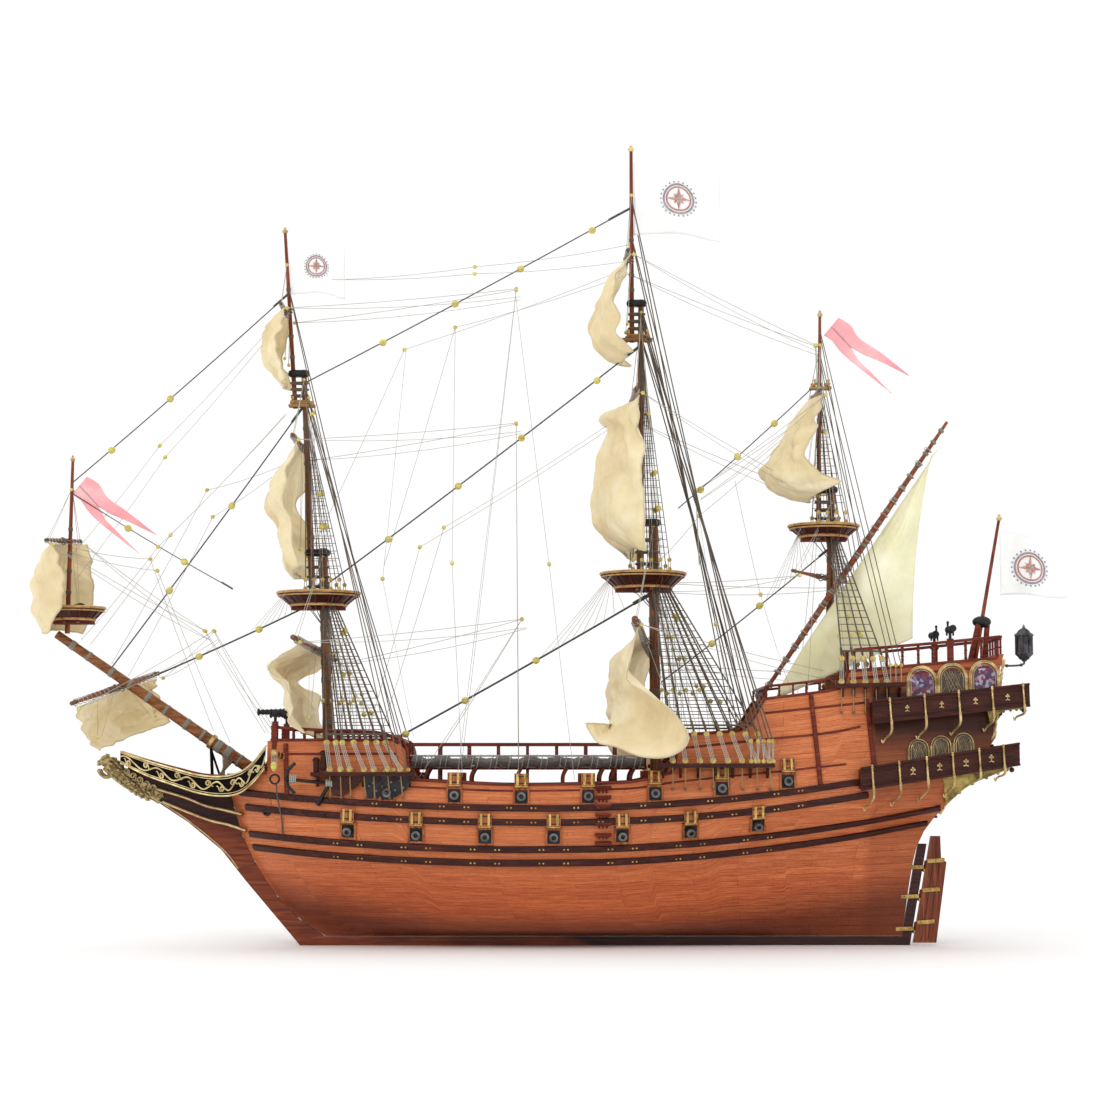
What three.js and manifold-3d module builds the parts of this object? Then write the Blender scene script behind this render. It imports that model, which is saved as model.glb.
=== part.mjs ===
// A three-masted galleon model in wood: hull, decks, head, galleries, masts, yards, sails,
// a rudder hung on pintles and four swivel guns that turn on posts.
// Millimetres. +X aft, -Y port, +Z up. The origin is on the underside of the keel, amidships.
import * as THREE from "three";
import { mergeVertices } from "three/addons/utils/BufferGeometryUtils.js";
import Module from "manifold-3d";

const wasm = await Module();
wasm.setup();

// ---- Driving dimensions -------------------------------------------------------------------
const GAP = 0.3; // clearance between pieces that touch
const PLANK = 3; // thickness of the planked shell
const KEEL_HEIGHT = 5.7;
const KEEL_HALF_WIDTH = 2;
const HULL_BOTTOM = KEEL_HEIGHT + GAP;
const HULL_TOP = 195; // height of the block that the sheer line is cut from
const STERNPOST_RAKE = 0.18; // how far the sternpost leans aft for each mm of height
const STERNPOST_FOOT = 196.6; // aft face of the sternpost at the keel
const STERNPOST_DEPTH = 6;
const STERNPOST_TOP = 66;

const HEAD_DECK_Z = 112; // where the round bow stops and the beakhead bulkhead starts
const BEAK_BULKHEAD_X = -222;
const MAIN_DECK_Z = 92;
const FORECASTLE_DECK_Z = 118;
const FORECASTLE_AFT_X = -134;
const HALF_DECK_Z = 124;
const HALF_DECK_FRONT_X = 42;
const QUARTERDECK_Z = 150;
const QUARTERDECK_FRONT_X = 99;
const POOP_DECK_Z = 168;
const POOP_FRONT_X = 152;
const DECK_THICKNESS = 2;

const MAST_HOLE = 0.5; // radial clearance of a mast in a deck
const ROUND_SIDES = 12;
const SPAR_SIDES = 8;

// The outline of the stem and the stern at rising heights: [height, x].
const BOW_LINE = [[6, -186], [17, -203], [32, -218], [55, -233], [71, -241], [90, -247], [112, -252], [195, -256]];
const STERN_LINE = [[6, 191.2], [66, 202.1], [90, 214], [112, 233], [133, 246.5], [167, 250], [195, 257.5]];
// Greatest half breadth, the transom's share of it and the fullness of the ends, by height.
const HALF_BREADTH = [[6, 2.2], [9, 20], [14, 33], [22, 43], [34, 51], [50, 57], [68, 60.5], [80, 61.5],
  [92, 61], [112, 57.5], [133, 53], [150, 49.5], [167, 46.5], [195, 42.5]];
const TRANSOM_SHARE = [[6, 0.03], [55, 0.04], [68, 0.09], [80, 0.28], [92, 0.6], [112, 0.64], [195, 0.67]];
const ENTRY_LENGTH = [[6, 0.5], [50, 0.36], [92, 0.3], [195, 0.28]];
const ENTRY_POWER = [[6, 1], [34, 0.8], [92, 0.5], [133, 0.42], [195, 0.4]];
const RUN_POWER = [[6, 1], [50, 1.3], [92, 2.2], [195, 2.4]];
const RUN_START = 0.45;
const HULL_LEVELS = [6, 9, 14, 22, 34, 50, 68, 80, 92, 112, 133, 150, 167, 195];
const HULL_STATIONS = 24;

// The top of the bulwarks from the head to the stern: [x, height].
const SHEER = [[-222, 133], [-138, 133], [-132, 127], [-130, 108], [-60, 104.5], [10, 106], [38, 112],
  [42, 136], [82, 139], [88, 143], [93, 150], [98, 159.5], [141, 165], [149, 167], [152, 177.5], [262, 187.5]];

const WOOD = { hull: 0xb0603c, deck: 0xc79a6b, dark: 0x4a2018, spar: 0x6e2f1c, tan: 0xb08a55 };
const BRASS = 0xb9924a;
const BLACK = 0x1b1a1c;
const CANVAS = 0xe6dcc0;

const ship = new THREE.Group();

// ---- Helpers ------------------------------------------------------------------------------
function curveThrough(table, at) {
  if (at <= table[0][0]) return table[0][1];
  for (let i = 1; i < table.length; i += 1) {
    const [x0, y0] = table[i - 1];
    const [x1, y1] = table[i];
    if (at <= x1) return y0 + ((y1 - y0) * (at - x0)) / (x1 - x0);
  }
  return table[table.length - 1][1];
}

function solidOf(geometry) {
  const plain = geometry.clone();
  plain.deleteAttribute("normal");
  plain.deleteAttribute("uv");
  const merged = mergeVertices(plain, 1e-4);
  return new wasm.Manifold(new wasm.Mesh({
    numProp: 3,
    vertProperties: new Float32Array(merged.attributes.position.array),
    triVerts: new Uint32Array(merged.index.array),
  }));
}

function geometryOf(solid) {
  const mesh = solid.getMesh();
  const geometry = new THREE.BufferGeometry();
  geometry.setAttribute("position", new THREE.BufferAttribute(new Float32Array(mesh.vertProperties), 3));
  geometry.setIndex(new THREE.BufferAttribute(new Uint32Array(mesh.triVerts), 1));
  return geometry;
}

function joined(...geometries) {
  return geometries.map(solidOf).reduce((whole, piece) => whole.add(piece));
}

function addPiece(name, shape, colour, roughness = 0.6, metalness = 0) {
  const geometry = shape.isBufferGeometry ? shape : geometryOf(shape);
  const mesh = new THREE.Mesh(geometry, new THREE.MeshStandardMaterial({ color: colour, roughness, metalness }));
  mesh.name = name;
  ship.add(mesh);
  return mesh;
}

function box(x0, x1, y0, y1, z0, z1) {
  const geometry = new THREE.BoxGeometry(x1 - x0, y1 - y0, z1 - z0);
  return geometry.translate((x0 + x1) / 2, (y0 + y1) / 2, (z0 + z1) / 2);
}

// A side-view outline in x and z, given thickness across the ship from y0 to y1.
function sideProfile(points, y0, y1) {
  const shape = new THREE.Shape(points.map(([x, z]) => new THREE.Vector2(x, z)));
  const geometry = new THREE.ExtrudeGeometry(shape, { depth: y1 - y0, bevelEnabled: false });
  return geometry.rotateX(Math.PI / 2).translate(0, y1, 0);
}

// A round bar from one point to another, each end with its own radius.
function bar(from, to, fromRadius, toRadius = fromRadius, sides = SPAR_SIDES) {
  const start = new THREE.Vector3(...from);
  const end = new THREE.Vector3(...to);
  const along = end.clone().sub(start);
  const geometry = new THREE.CylinderGeometry(toRadius, fromRadius, along.length(), sides);
  const turn = new THREE.Quaternion().setFromUnitVectors(new THREE.Vector3(0, 1, 0), along.clone().normalize());
  return geometry.applyQuaternion(turn).translate(...start.add(end).multiplyScalar(0.5).toArray());
}

// A spar that is thickest in the middle and tapers to both ends, lying between two points.
function taperedSpar(from, to, radius, endRadius) {
  const start = new THREE.Vector3(...from);
  const end = new THREE.Vector3(...to);
  const along = end.clone().sub(start);
  const half = along.length() / 2;
  const profile = [[0, -half], [endRadius, -half], [radius, -half * 0.35], [radius, half * 0.35],
    [endRadius, half], [0, half]].map(([r, y]) => new THREE.Vector2(r, y));
  const turn = new THREE.Quaternion().setFromUnitVectors(new THREE.Vector3(0, 1, 0), along.clone().normalize());
  const geometry = new THREE.LatheGeometry(profile, SPAR_SIDES).applyQuaternion(turn);
  return geometry.translate(...start.add(end).multiplyScalar(0.5).toArray());
}

// ---- Hull form ----------------------------------------------------------------------------
// Half the breadth of the hull at a share of its length (0 at the stem, 1 at the stern).
function halfBreadth(share, z) {
  const entry = Math.min(share / curveThrough(ENTRY_LENGTH, z), 1);
  const bow = (1 - (1 - entry) ** 2) ** curveThrough(ENTRY_POWER, z);
  const run = Math.max(share - RUN_START, 0) / (1 - RUN_START);
  const stern = 1 - (1 - curveThrough(TRANSOM_SHARE, z)) * run ** curveThrough(RUN_POWER, z);
  return Math.max(curveThrough(HALF_BREADTH, z) * bow * stern, KEEL_HALF_WIDTH);
}

// The hull as one closed block, grown (or shrunk, when grow is negative) on its sides and ends.
function hullBlock(grow, growEnds = grow, lift = 0, bottom = HULL_BOTTOM) {
  const positions = [];
  const indices = [];
  const levels = HULL_LEVELS.filter((z) => z > bottom).concat(HULL_TOP + 5 * Math.sign(grow - 0.01));
  levels.unshift(bottom);
  const sides = [-1, 1];
  const index = (station, level, side) => (station * levels.length + level) * 2 + side;
  for (let station = 0; station <= HULL_STATIONS; station += 1) {
    const share = (station / HULL_STATIONS) ** 1.3;
    for (const z of levels) {
      const form = Math.max(z - lift, HULL_LEVELS[0]);
      const bow = curveThrough(BOW_LINE, form) - growEnds;
      const stern = curveThrough(STERN_LINE, form) + growEnds;
      const half = Math.max(halfBreadth(share, form) + grow, 0.8);
      for (const side of sides) positions.push(bow + share * (stern - bow), side * half, z);
    }
  }
  const quad = (a, b, c, d) => indices.push(a, b, c, a, c, d);
  const top = levels.length - 1;
  for (let s = 0; s < HULL_STATIONS; s += 1) {
    for (let l = 0; l < top; l += 1) {
      quad(index(s, l, 0), index(s + 1, l, 0), index(s + 1, l + 1, 0), index(s, l + 1, 0));
      quad(index(s, l + 1, 1), index(s + 1, l + 1, 1), index(s + 1, l, 1), index(s, l, 1));
    }
    quad(index(s, top, 0), index(s + 1, top, 0), index(s + 1, top, 1), index(s, top, 1));
    quad(index(s, 0, 1), index(s + 1, 0, 1), index(s + 1, 0, 0), index(s, 0, 0));
  }
  for (let l = 0; l < top; l += 1) {
    quad(index(0, l, 1), index(0, l, 0), index(0, l + 1, 0), index(0, l + 1, 1));
    quad(index(HULL_STATIONS, l, 0), index(HULL_STATIONS, l, 1), index(HULL_STATIONS, l + 1, 1),
      index(HULL_STATIONS, l + 1, 0));
  }
  const geometry = new THREE.BufferGeometry();
  geometry.setAttribute("position", new THREE.BufferAttribute(new Float32Array(positions), 3));
  geometry.setIndex(indices);
  return solidOf(geometry);
}

const hullOutside = hullBlock(0);
const hullClear = hullBlock(GAP + 0.1);
const hullInside = hullBlock(-PLANK, -PLANK - 2, PLANK, 12);
const hullFit = hullBlock(-PLANK - GAP, -PLANK - 2 - GAP, PLANK, 13);

// ---- Masts: [name, foot, head, foot radius, head radius] ----------------------------------
const SPARS = {
  foremast: [[-184.4, 0, MAIN_DECK_Z + GAP], [-190.4, 0, 261], 3.5, 2.9],
  fore_topmast: [[-196.8, 0, 224.4], [-204.2, 0, 381], 2.3, 1.8],
  fore_topgallant_mast: [[-209.6, 0, 355], [-217.6, 0, 474], 1.6, 1],
  mainmast: [[30.6, 0, MAIN_DECK_Z + GAP], [29.4, 0, 281], 3.8, 3.1],
  main_topmast: [[20.6, 0, 236.4], [21.8, 0, 429], 2.5, 1.9],
  main_topgallant_mast: [[15.6, 0, 400], [15.4, 0, 531], 1.7, 1.1],
  mizzenmast: [[143.6, 0, MAIN_DECK_Z + GAP], [148.6, 0, 303.5], 2.9, 2.3],
  mizzen_topmast: [[139.6, 0, 270.4], [142, 0, 418], 1.8, 1],
  bowsprit: [[-214, 0, 99.7], [-366, 0, 203.8], 4.4, 2.8],
  sprit_topmast: [[-359.2, 0, 204.3], [-357.6, 0, 320], 1.7, 1],
  ensign_staff: [[239.4, 0, POOP_DECK_Z + GAP], [260.2, 0, 281], 1.5, 1],
};

function sparBar([from, to, fromRadius, toRadius], grow = 0) {
  return bar(from, to, fromRadius + grow, toRadius + grow, ROUND_SIDES);
}

function withMastHoles(solid) {
  let holed = solid;
  for (const name of ["foremast", "mainmast", "mizzenmast", "bowsprit"]) {
    holed = holed.subtract(solidOf(sparBar(SPARS[name], MAST_HOLE)));
  }
  return holed;
}

// ---- Keel, planking and decks ---------------------------------------------------------------
function keel() {
  const post = (z, ahead) => [STERNPOST_FOOT + STERNPOST_RAKE * z - ahead, z];
  const rabbet = BOW_LINE.filter(([z]) => z > HULL_BOTTOM && z <= 90).map(([z, x]) => [x - 0.5, z - 0.3]);
  const outline = [
    [-203, 0], [-221, 21], [-239, 42], [-255, 62], [-277, 80], [-297, 93], [-318, 102],
    [-317, 119], [-286, 106], [-258, 98], [-248, 98],
    ...rabbet.reverse(), [-186.5, KEEL_HEIGHT],
    post(KEEL_HEIGHT, STERNPOST_DEPTH), post(STERNPOST_TOP, STERNPOST_DEPTH), post(STERNPOST_TOP, 0), post(0, 0),
  ];
  const headClear = trayBlock(HEAD_FRAMES.map(([x, half, low, high]) => [x, half, low - GAP, high]));
  return solidOf(sideProfile(outline, -KEEL_HALF_WIDTH, KEEL_HALF_WIDTH)).subtract(hullClear).subtract(headClear);
}

// Posts that carry the swivel guns: [name, x, distance from the centre plane, foot, head, how many
// degrees the muzzle at rest is turned outboard from dead ahead].
const SWIVELS = [
  ["bow_swivel", -217, 36.5, 122, 145, 0],
  ["poop_swivel", 221, 31, 172, 199, 90],
];
const POST_HALF = 2;

function hullPlanking() {
  const aboveSheer = sideProfile([...SHEER, [262, 240], [-222, 240]], -90, 90);
  const aboveHead = box(-300, BEAK_BULKHEAD_X, -90, 90, HEAD_DECK_Z, 240);
  const bulkheadCut = hullInside.subtract(solidOf(box(-300, BEAK_BULKHEAD_X + PLANK, -90, 90, HEAD_DECK_Z, 240)));
  let shell = hullOutside.subtract(bulkheadCut).subtract(solidOf(aboveSheer)).subtract(solidOf(aboveHead));
  for (const [, x, y, foot, head] of SWIVELS) {
    for (const side of [-1, 1]) {
      const post = box(x - POST_HALF, x + POST_HALF, side * y - POST_HALF, side * y + POST_HALF, foot, head);
      shell = shell.add(solidOf(post));
    }
  }
  return shell.subtract(solidOf(sparBar(SPARS.bowsprit, MAST_HOLE)));
}

// One or more deck boards and bulkheads, trimmed to the inside of the hull and holed for the masts.
function deckWork(...boxes) {
  let posts = solidOf(box(-1, 1, -1, 1, -9, -8));
  for (const [, x, y, foot, head] of SWIVELS) {
    for (const side of [-1, 1]) {
      const reach = POST_HALF + GAP;
      posts = posts.add(solidOf(box(x - reach, x + reach, side * y - reach, side * y + reach, foot - 1, head)));
    }
  }
  return withMastHoles(joined(...boxes).intersect(hullFit).subtract(posts));
}

function mainDeck() {
  return deckWork(box(-250, 250, -80, 80, MAIN_DECK_Z - DECK_THICKNESS, MAIN_DECK_Z));
}

function forecastleDeck() {
  return deckWork(
    box(BEAK_BULKHEAD_X + PLANK + GAP, FORECASTLE_AFT_X, -80, 80, FORECASTLE_DECK_Z - DECK_THICKNESS,
      FORECASTLE_DECK_Z),
    box(FORECASTLE_AFT_X - 2, FORECASTLE_AFT_X, -80, 80, MAIN_DECK_Z + GAP, FORECASTLE_DECK_Z),
  );
}

function quarterdeck() {
  return deckWork(
    box(HALF_DECK_FRONT_X, HALF_DECK_FRONT_X + 2, -80, 80, MAIN_DECK_Z + GAP, HALF_DECK_Z),
    box(HALF_DECK_FRONT_X, QUARTERDECK_FRONT_X + 2, -80, 80, HALF_DECK_Z - DECK_THICKNESS, HALF_DECK_Z),
    box(QUARTERDECK_FRONT_X, QUARTERDECK_FRONT_X + 2, -80, 80, HALF_DECK_Z - DECK_THICKNESS, QUARTERDECK_Z),
    box(QUARTERDECK_FRONT_X, POOP_FRONT_X + 2, -80, 80, QUARTERDECK_Z - DECK_THICKNESS, QUARTERDECK_Z),
  );
}

function poopDeck() {
  return deckWork(
    box(POOP_FRONT_X, POOP_FRONT_X + 2, -80, 80, QUARTERDECK_Z + GAP, POOP_DECK_Z),
    box(POOP_FRONT_X, 260, -80, 80, POOP_DECK_Z - DECK_THICKNESS, POOP_DECK_Z),
  );
}

// The raised walk down the middle of the waist, on legs, with a post-and-rail fence on each side.
// Every third post runs on down to the deck as a leg.
const GANGWAY = { front: -132, back: 24, half: 14, top: 117, thick: 2.5, rail: 132, pitch: 19.2, post: 1, leg: 3 };

function waistGangway() {
  const { front, back, half, top, thick, rail, pitch, post, leg } = GANGWAY;
  const parts = [box(front, back, -half, half, top - thick, top)];
  for (const side of [-1, 1]) {
    const y = side * (half - post);
    parts.push(box(front, back, y - 1.2, y + 1.2, rail - 2, rail));
    for (let i = 0; front + post + i * pitch < back; i += 1) {
      const x = front + post + i * pitch;
      const foot = (i - 1) % leg === 0 ? MAIN_DECK_Z + GAP : top - thick / 2;
      parts.push(box(x - post, x + post, y - post, y + post, foot, rail - 1));
    }
  }
  return withMastHoles(joined(...parts));
}

// ---- Head: the open tray of rails in front of the bow, and its carved lion ------------------
// [x, half breadth, lower edge, upper edge] from the figurehead to the hull.
const HEAD_FRAMES = [[-322, 4, 119.5, 126], [-304, 11, 111, 120], [-286, 17, 105, 115], [-268, 23, 99.5, 110.5],
  [-252, 28, 97.5, 109.5], [-240, 33, 99.5, 112], [-231, 38, 106, 117], [-223, 42, 115, 127]];

function trayBlock(frames) {
  const positions = [];
  const indices = [];
  for (const [x, half, low, high] of frames) {
    positions.push(x, -half, low, x, half, low, x, half, high, x, -half, high);
  }
  for (let f = 0; f + 1 < frames.length; f += 1) {
    for (let corner = 0; corner < 4; corner += 1) {
      const a = f * 4 + corner;
      const b = f * 4 + ((corner + 1) % 4);
      indices.push(a, b, a + 4, b, b + 4, a + 4);
    }
  }
  const last = (frames.length - 1) * 4;
  indices.push(0, 2, 1, 0, 3, 2, last, last + 1, last + 2, last, last + 2, last + 3);
  const geometry = new THREE.BufferGeometry();
  geometry.setAttribute("position", new THREE.BufferAttribute(new Float32Array(positions), 3));
  geometry.setIndex(indices);
  return solidOf(geometry);
}

function beakhead() {
  const wall = 1.6;
  const hollow = HEAD_FRAMES.map(([x, half, low, high]) => [x, Math.max(half - wall, 0.6), low + wall, high + 20]);
  return withMastHoles(trayBlock(HEAD_FRAMES).subtract(trayBlock(hollow)).subtract(hullBlock(3 * GAP)));
}

function figurehead() {
  const body = new THREE.SphereGeometry(1, 12, 8).scale(11, 5, 6).rotateY(0.75).translate(-328, 0, 109);
  const head = new THREE.SphereGeometry(6.5, 12, 8).translate(-334, 0, 119.5);
  const keelClear = sideProfile([[-318.6, 90], [-318.6, 118.6], [-300, 118.6], [-300, 90]], -9, 9);
  const trayClear = box(-322.5, -300, -9, 9, 117.5, 130);
  return joined(body, head).subtract(solidOf(keelClear)).subtract(solidOf(trayClear));
}

// ---- Stern: galleries, rudder, lantern -------------------------------------------------------
// A walk that wraps the stern: [front x, aft x, parapet top at the front, slope, height, reach].
const LOWER_GALLERY = { front: 158, aft: 262.5, top: 114.5, slope: 0.155, height: 12.5, reach: 8 };
const UPPER_GALLERY = { front: 167, aft: 270, top: 157.5, slope: 0.112, height: 13, reach: 10 };

function gallery({ front, aft, top, slope, height, reach }) {
  const band = (low, high, y) => {
    const at = (x, z) => [x, z + slope * (x - front)];
    return solidOf(sideProfile([at(front, low), at(aft, low), at(aft, high), at(front, high)], -y, y));
  };
  const floor = 2;
  const parapet = 1.5;
  const outside = hullBlock(reach, reach + 18).intersect(band(top - height, top, 80));
  const inside = hullBlock(reach - parapet, reach + 18).intersect(
    solidOf(sideProfile([
      [front + parapet, top - height + floor], [aft - parapet, top - height + floor + slope * (aft - front)],
      [aft - parapet, top + 40], [front + parapet, top + 40]], -80, 80)));
  return outside.subtract(inside).subtract(hullClear);
}

const RUDDER = { thickness: 4, foot: 1.5, shoulder: 54, head: 71, gap: 1.2, pin: 0.9 };
const hingeX = (z) => STERNPOST_FOOT + STERNPOST_RAKE * z + 1.6;

function rudder() {
  const { thickness, foot, shoulder, head } = RUDDER;
  const front = (z) => [hingeX(z) + 0.4, z];
  const blade = sideProfile([
    front(foot), [hingeX(foot) + 15.5, foot], [hingeX(shoulder) + 13.5, shoulder],
    [hingeX(shoulder) + 10, shoulder + 2], [hingeX(head) + 6.5, head], front(head)], -thickness / 2, thickness / 2);
  const pins = [12, 33, 52].map((z) => bar([hingeX(z - 3), 0, z - 3], [hingeX(z + 3), 0, z + 3], RUDDER.pin));
  return joined(blade, ...pins);
}

function sternLantern() {
  const profile = [[0, -11.5], [2.4, -9.6], [5.8, -6.2], [5.8, 6.4], [3.2, 9.2], [1, 10.8], [0.6, 13], [0, 13]];
  const body = new THREE.LatheGeometry(profile.map(([r, y]) => new THREE.Vector2(r, y)), 6)
    .rotateX(Math.PI / 2).translate(275.4, 0, 197);
  const bracket = bar([260, 0, 183], [275.4, 0, 186.5], 1.1);
  return joined(body, bracket).subtract(hullClear);
}

// ---- Channels: the shelves outside the hull that spread the shrouds ---------------------------
function channel(x0, x1, z, side) {
  const shelf = box(x0, x1, side > 0 ? 0 : -90, side > 0 ? 90 : 0, z - 2, z);
  return hullBlock(9.5, 9.5).intersect(solidOf(shelf)).subtract(hullClear);
}

// ---- Anchor lying along the bow ---------------------------------------------------------------
function anchor(side) {
  const y = side * 55;
  const shank = bar([-207, y, 108.5], [-178, y, 105.5], 1.1);
  const arms = [];
  const steps = 4;
  for (let i = 0; i < steps; i += 1) {
    const at = (k) => {
      const angle = (k / steps - 0.5) * 2.1;
      return [-197 - 11 * Math.cos(angle), y, 109 + 11 * Math.sin(angle)];
    };
    arms.push(bar(at(i - 0.08), at(i + 1.08), 1.1));
  }
  const stock = bar([-178, y - 1, 109], [-188, y + 1, 92], 1.3);
  return joined(shank, ...arms, stock).subtract(hullClear);
}

// ---- Swivel gun -------------------------------------------------------------------------------
function swivelGun(x, y, z, turn) {
  const yoke = joined(bar([0, 0, z + GAP], [0, 0, z + 5], 1), bar([-2, 0, z + 5], [2, 0, z + 5], 1.5));
  const barrel = bar([-11, 0, z + 6.5], [5, 0, z + 6.5], 1.4, 2);
  const knob = bar([4.5, 0, z + 6.5], [8, 0, z + 6.5], 0.8);
  return yoke.add(joined(barrel, knob)).rotate([0, 0, turn]).translate([x, y, 0]);
}

// ---- Tops: the round platforms where the masts overlap -----------------------------------------
// [x, rim height, rim radius, depth, the spar that passes through].
const TOPS = {
  sprit_top: [-355, 221, 20, 8, "sprit_topmast"],
  fore_top: [-193, 231, 27, 8.5, "foremast"],
  main_top: [22.5, 244, 28, 9.5, "mainmast"],
  mizzen_top: [143, 276, 23, 7.5, "mizzenmast"],
};

function topPlatform([x, rimZ, rim, depth, mast]) {
  const wall = 1.6;
  const floor = rim * 0.66;
  const profile = [[0, -depth], [floor, -depth], [rim, -1], [rim, 0.6], [rim - wall, 0.6],
    [floor - 1, wall - depth], [0, wall - depth]];
  const bowl = new THREE.LatheGeometry(profile.map(([r, y]) => new THREE.Vector2(r, y)), 20)
    .rotateX(Math.PI / 2).translate(x, 0, rimZ);
  return solidOf(bowl).subtract(solidOf(sparBar(SPARS[mast], GAP)));
}

// ---- Yards: centre, half length, radius, how far the port end swings forward, and tips up ------
const YARDS = {
  fore_course_yard: [[-195, 0, 194], 95, 2.1, 0.06, 0.03],
  fore_topsail_yard: [[-206.2, 0, 330], 54, 1.5, 0, 0],
  fore_topgallant_yard: [[-217.2, 0, 421], 28, 1.1, 0, 0],
  main_course_yard: [[22.5, 0, 200], 118, 2.6, 0.09, 0.06],
  main_topsail_yard: [[16, 0, 359], 65, 1.7, 0, 0],
  main_topgallant_yard: [[12, 0, 456], 34, 1.2, 0, 0],
  crossjack_yard: [[141.5, 0, 242], 60, 1.3, 0.44, 0],
  mizzen_topsail_yard: [[137, 0, 362], 38, 1.1, 0, 0],
  spritsail_yard: [[-326, 0, 168.4], 56, 1.7, 0.38, -0.22],
  sprit_topsail_yard: [[-362.6, 0, 266], 34, 1.2, 0.16, -0.08],
};
const LATEEN = { foot: [92.7, -6.2, 152], peak: [225.4, -6.2, 345.4], radius: 2.1 };

function squareYard([[x, y, z], half, radius, swing, tip]) {
  const reach = new THREE.Vector3(-Math.sin(swing), -Math.cos(swing), Math.sin(tip)).normalize().multiplyScalar(half);
  return taperedSpar([x - reach.x, y - reach.y, z - reach.z], [x + reach.x, y + reach.y, z + reach.z], radius,
    radius * 0.55);
}

// ---- Sails -------------------------------------------------------------------------------------
// Square sails, hung below their yards and gathered up, so they bag. Each has its yard, half its
// width at the head and the foot, and two profiles from the yard down as [aft, up]: along its
// edges and down its middle.
const SAIL_THICKNESS = 1.6;
const SAIL_ROWS = 12;
const SAIL_COLUMNS = 12;
const SQUARE_SAILS = {
  fore_course: ["fore_course_yard", 74, 66,
    [[1, -3], [-8, -9], [-20, -17], [-17, -22], [-9, -27], [-6, -41], [-1, -53], [7, -58]],
    [[-1, -3], [-10, -9], [-21, -17], [-19, -23], [-13, -30], [-11, -41], [-8, -51], [-4, -56]]],
  fore_topsail: ["fore_topsail_yard", 46, 44,
    [[2, -3], [1, -16], [-6, -38], [3, -54], [1, -66], [3, -78], [5, -86]],
    [[0, -3], [-11, -18], [-20, -40], [-13, -52], [-12, -66], [-9, -80], [-3, -88]]],
  fore_topgallant_sail: ["fore_topgallant_yard", 24, 22,
    [[2, -2], [0, -12], [-3, -23], [-3, -33], [1, -42], [3, -50]],
    [[-2, -2], [-9, -8], [-15, -24], [-11, -36], [-4, -45], [0, -52]]],
  main_course: ["main_course_yard", 96, 86,
    [[1, -3], [-2, -14], [-4, -26], [-3, -36], [6, -42], [18, -50], [29, -62], [32, -74], [20, -83], [4, -83],
      [-12, -77], [-24, -74], [-31, -62]],
    [[-1, -3], [-14, -8], [-21, -18], [-23, -31], [-23, -42], [-22, -50], [-18, -56], [-12, -59]]],
  main_topsail: ["main_topsail_yard", 54, 50,
    [[2, -3], [1, -12], [2, -22], [5, -36], [5, -56], [5, -78], [6, -94], [8, -104]],
    [[0, -3], [-11, -5], [-21, -11], [-13, -18], [-17, -27], [-20, -40], [-24, -58], [-24, -78],
      [-16, -92], [-4, -100]]],
  main_topgallant_sail: ["main_topgallant_yard", 30, 27,
    [[2, -2], [-5, -14], [-8, -30], [-6, -44], [-9, -54], [-1, -62], [4, -67]],
    [[0, -2], [-9, -13], [-17, -28], [-22, -44], [-21, -57], [-12, -67], [-3, -70]]],
  mizzen_topsail: ["mizzen_topsail_yard", 33, 30,
    [[3, -2], [-1, -18], [-5, -32], [-8, -44], [-2, -53], [9, -57], [17, -60]],
    [[-5, -3], [-18, -24], [-27, -40], [-35, -51], [-28, -62], [-16, -68], [-6, -70]]],
  spritsail: ["spritsail_yard", 50, 44,
    [[1, -3], [0, -10], [2, -19], [7, -27], [13, -32]],
    [[-1, -3], [-6, -13], [-7, -24], [-3, -32], [2, -35]]],
  sprit_topsail: ["sprit_topsail_yard", 31, 29,
    [[4, -2], [9, -16], [10, -32], [8, -46], [4, -56], [2, -62]],
    [[-6, -2], [-15, -14], [-19, -30], [-19, -43], [-15, -55], [-11, -60]]],
};

function profileCurve(points) {
  return new THREE.CatmullRomCurve3(points.map(([aft, up]) => new THREE.Vector3(aft, 0, up)));
}

// The middle surface of a sail in its own frame; across runs from -1 to 1 and down from 0 to 1.
function sailPoint([, head, foot, edge, middle], across, down) {
  const fullness = Math.max(Math.cos((across * Math.PI) / 2), 0) ** 0.75;
  const point = edge.getPointAt(down).lerp(middle.getPointAt(down), fullness);
  point.y = across * (head + (foot - head) * down);
  return point;
}

function squareSail([yardName, head, foot, edgePoints, middlePoints]) {
  const [[x, y, z], , radius, swing, tip] = YARDS[yardName];
  const sail = [yardName, head, foot, profileCurve(edgePoints), profileCurve(middlePoints)];
  const faces = { front: [], back: [] };
  for (let row = 0; row <= SAIL_ROWS; row += 1) {
    for (let column = 0; column <= SAIL_COLUMNS; column += 1) {
      const down = row / SAIL_ROWS;
      const across = (2 * column) / SAIL_COLUMNS - 1;
      const at = (side, drop) => sailPoint(sail, Math.min(Math.max(side, -1), 1), Math.min(Math.max(drop, 0), 1));
      const wayAcross = at(across + 0.02, down).sub(at(across - 0.02, down));
      const wayDown = at(across, down + 0.01).sub(at(across, down - 0.01));
      const normal = wayAcross.cross(wayDown).normalize().multiplyScalar(SAIL_THICKNESS / 2);
      const middle = at(across, down);
      middle.z -= radius + 2 * GAP - 2;
      faces.front.push(middle.clone().add(normal));
      faces.back.push(middle.sub(normal));
    }
  }
  return closedSheet(faces, SAIL_COLUMNS + 1, SAIL_ROWS + 1).rotateX(-tip).rotateZ(-swing).translate(x, y, z);
}

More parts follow.
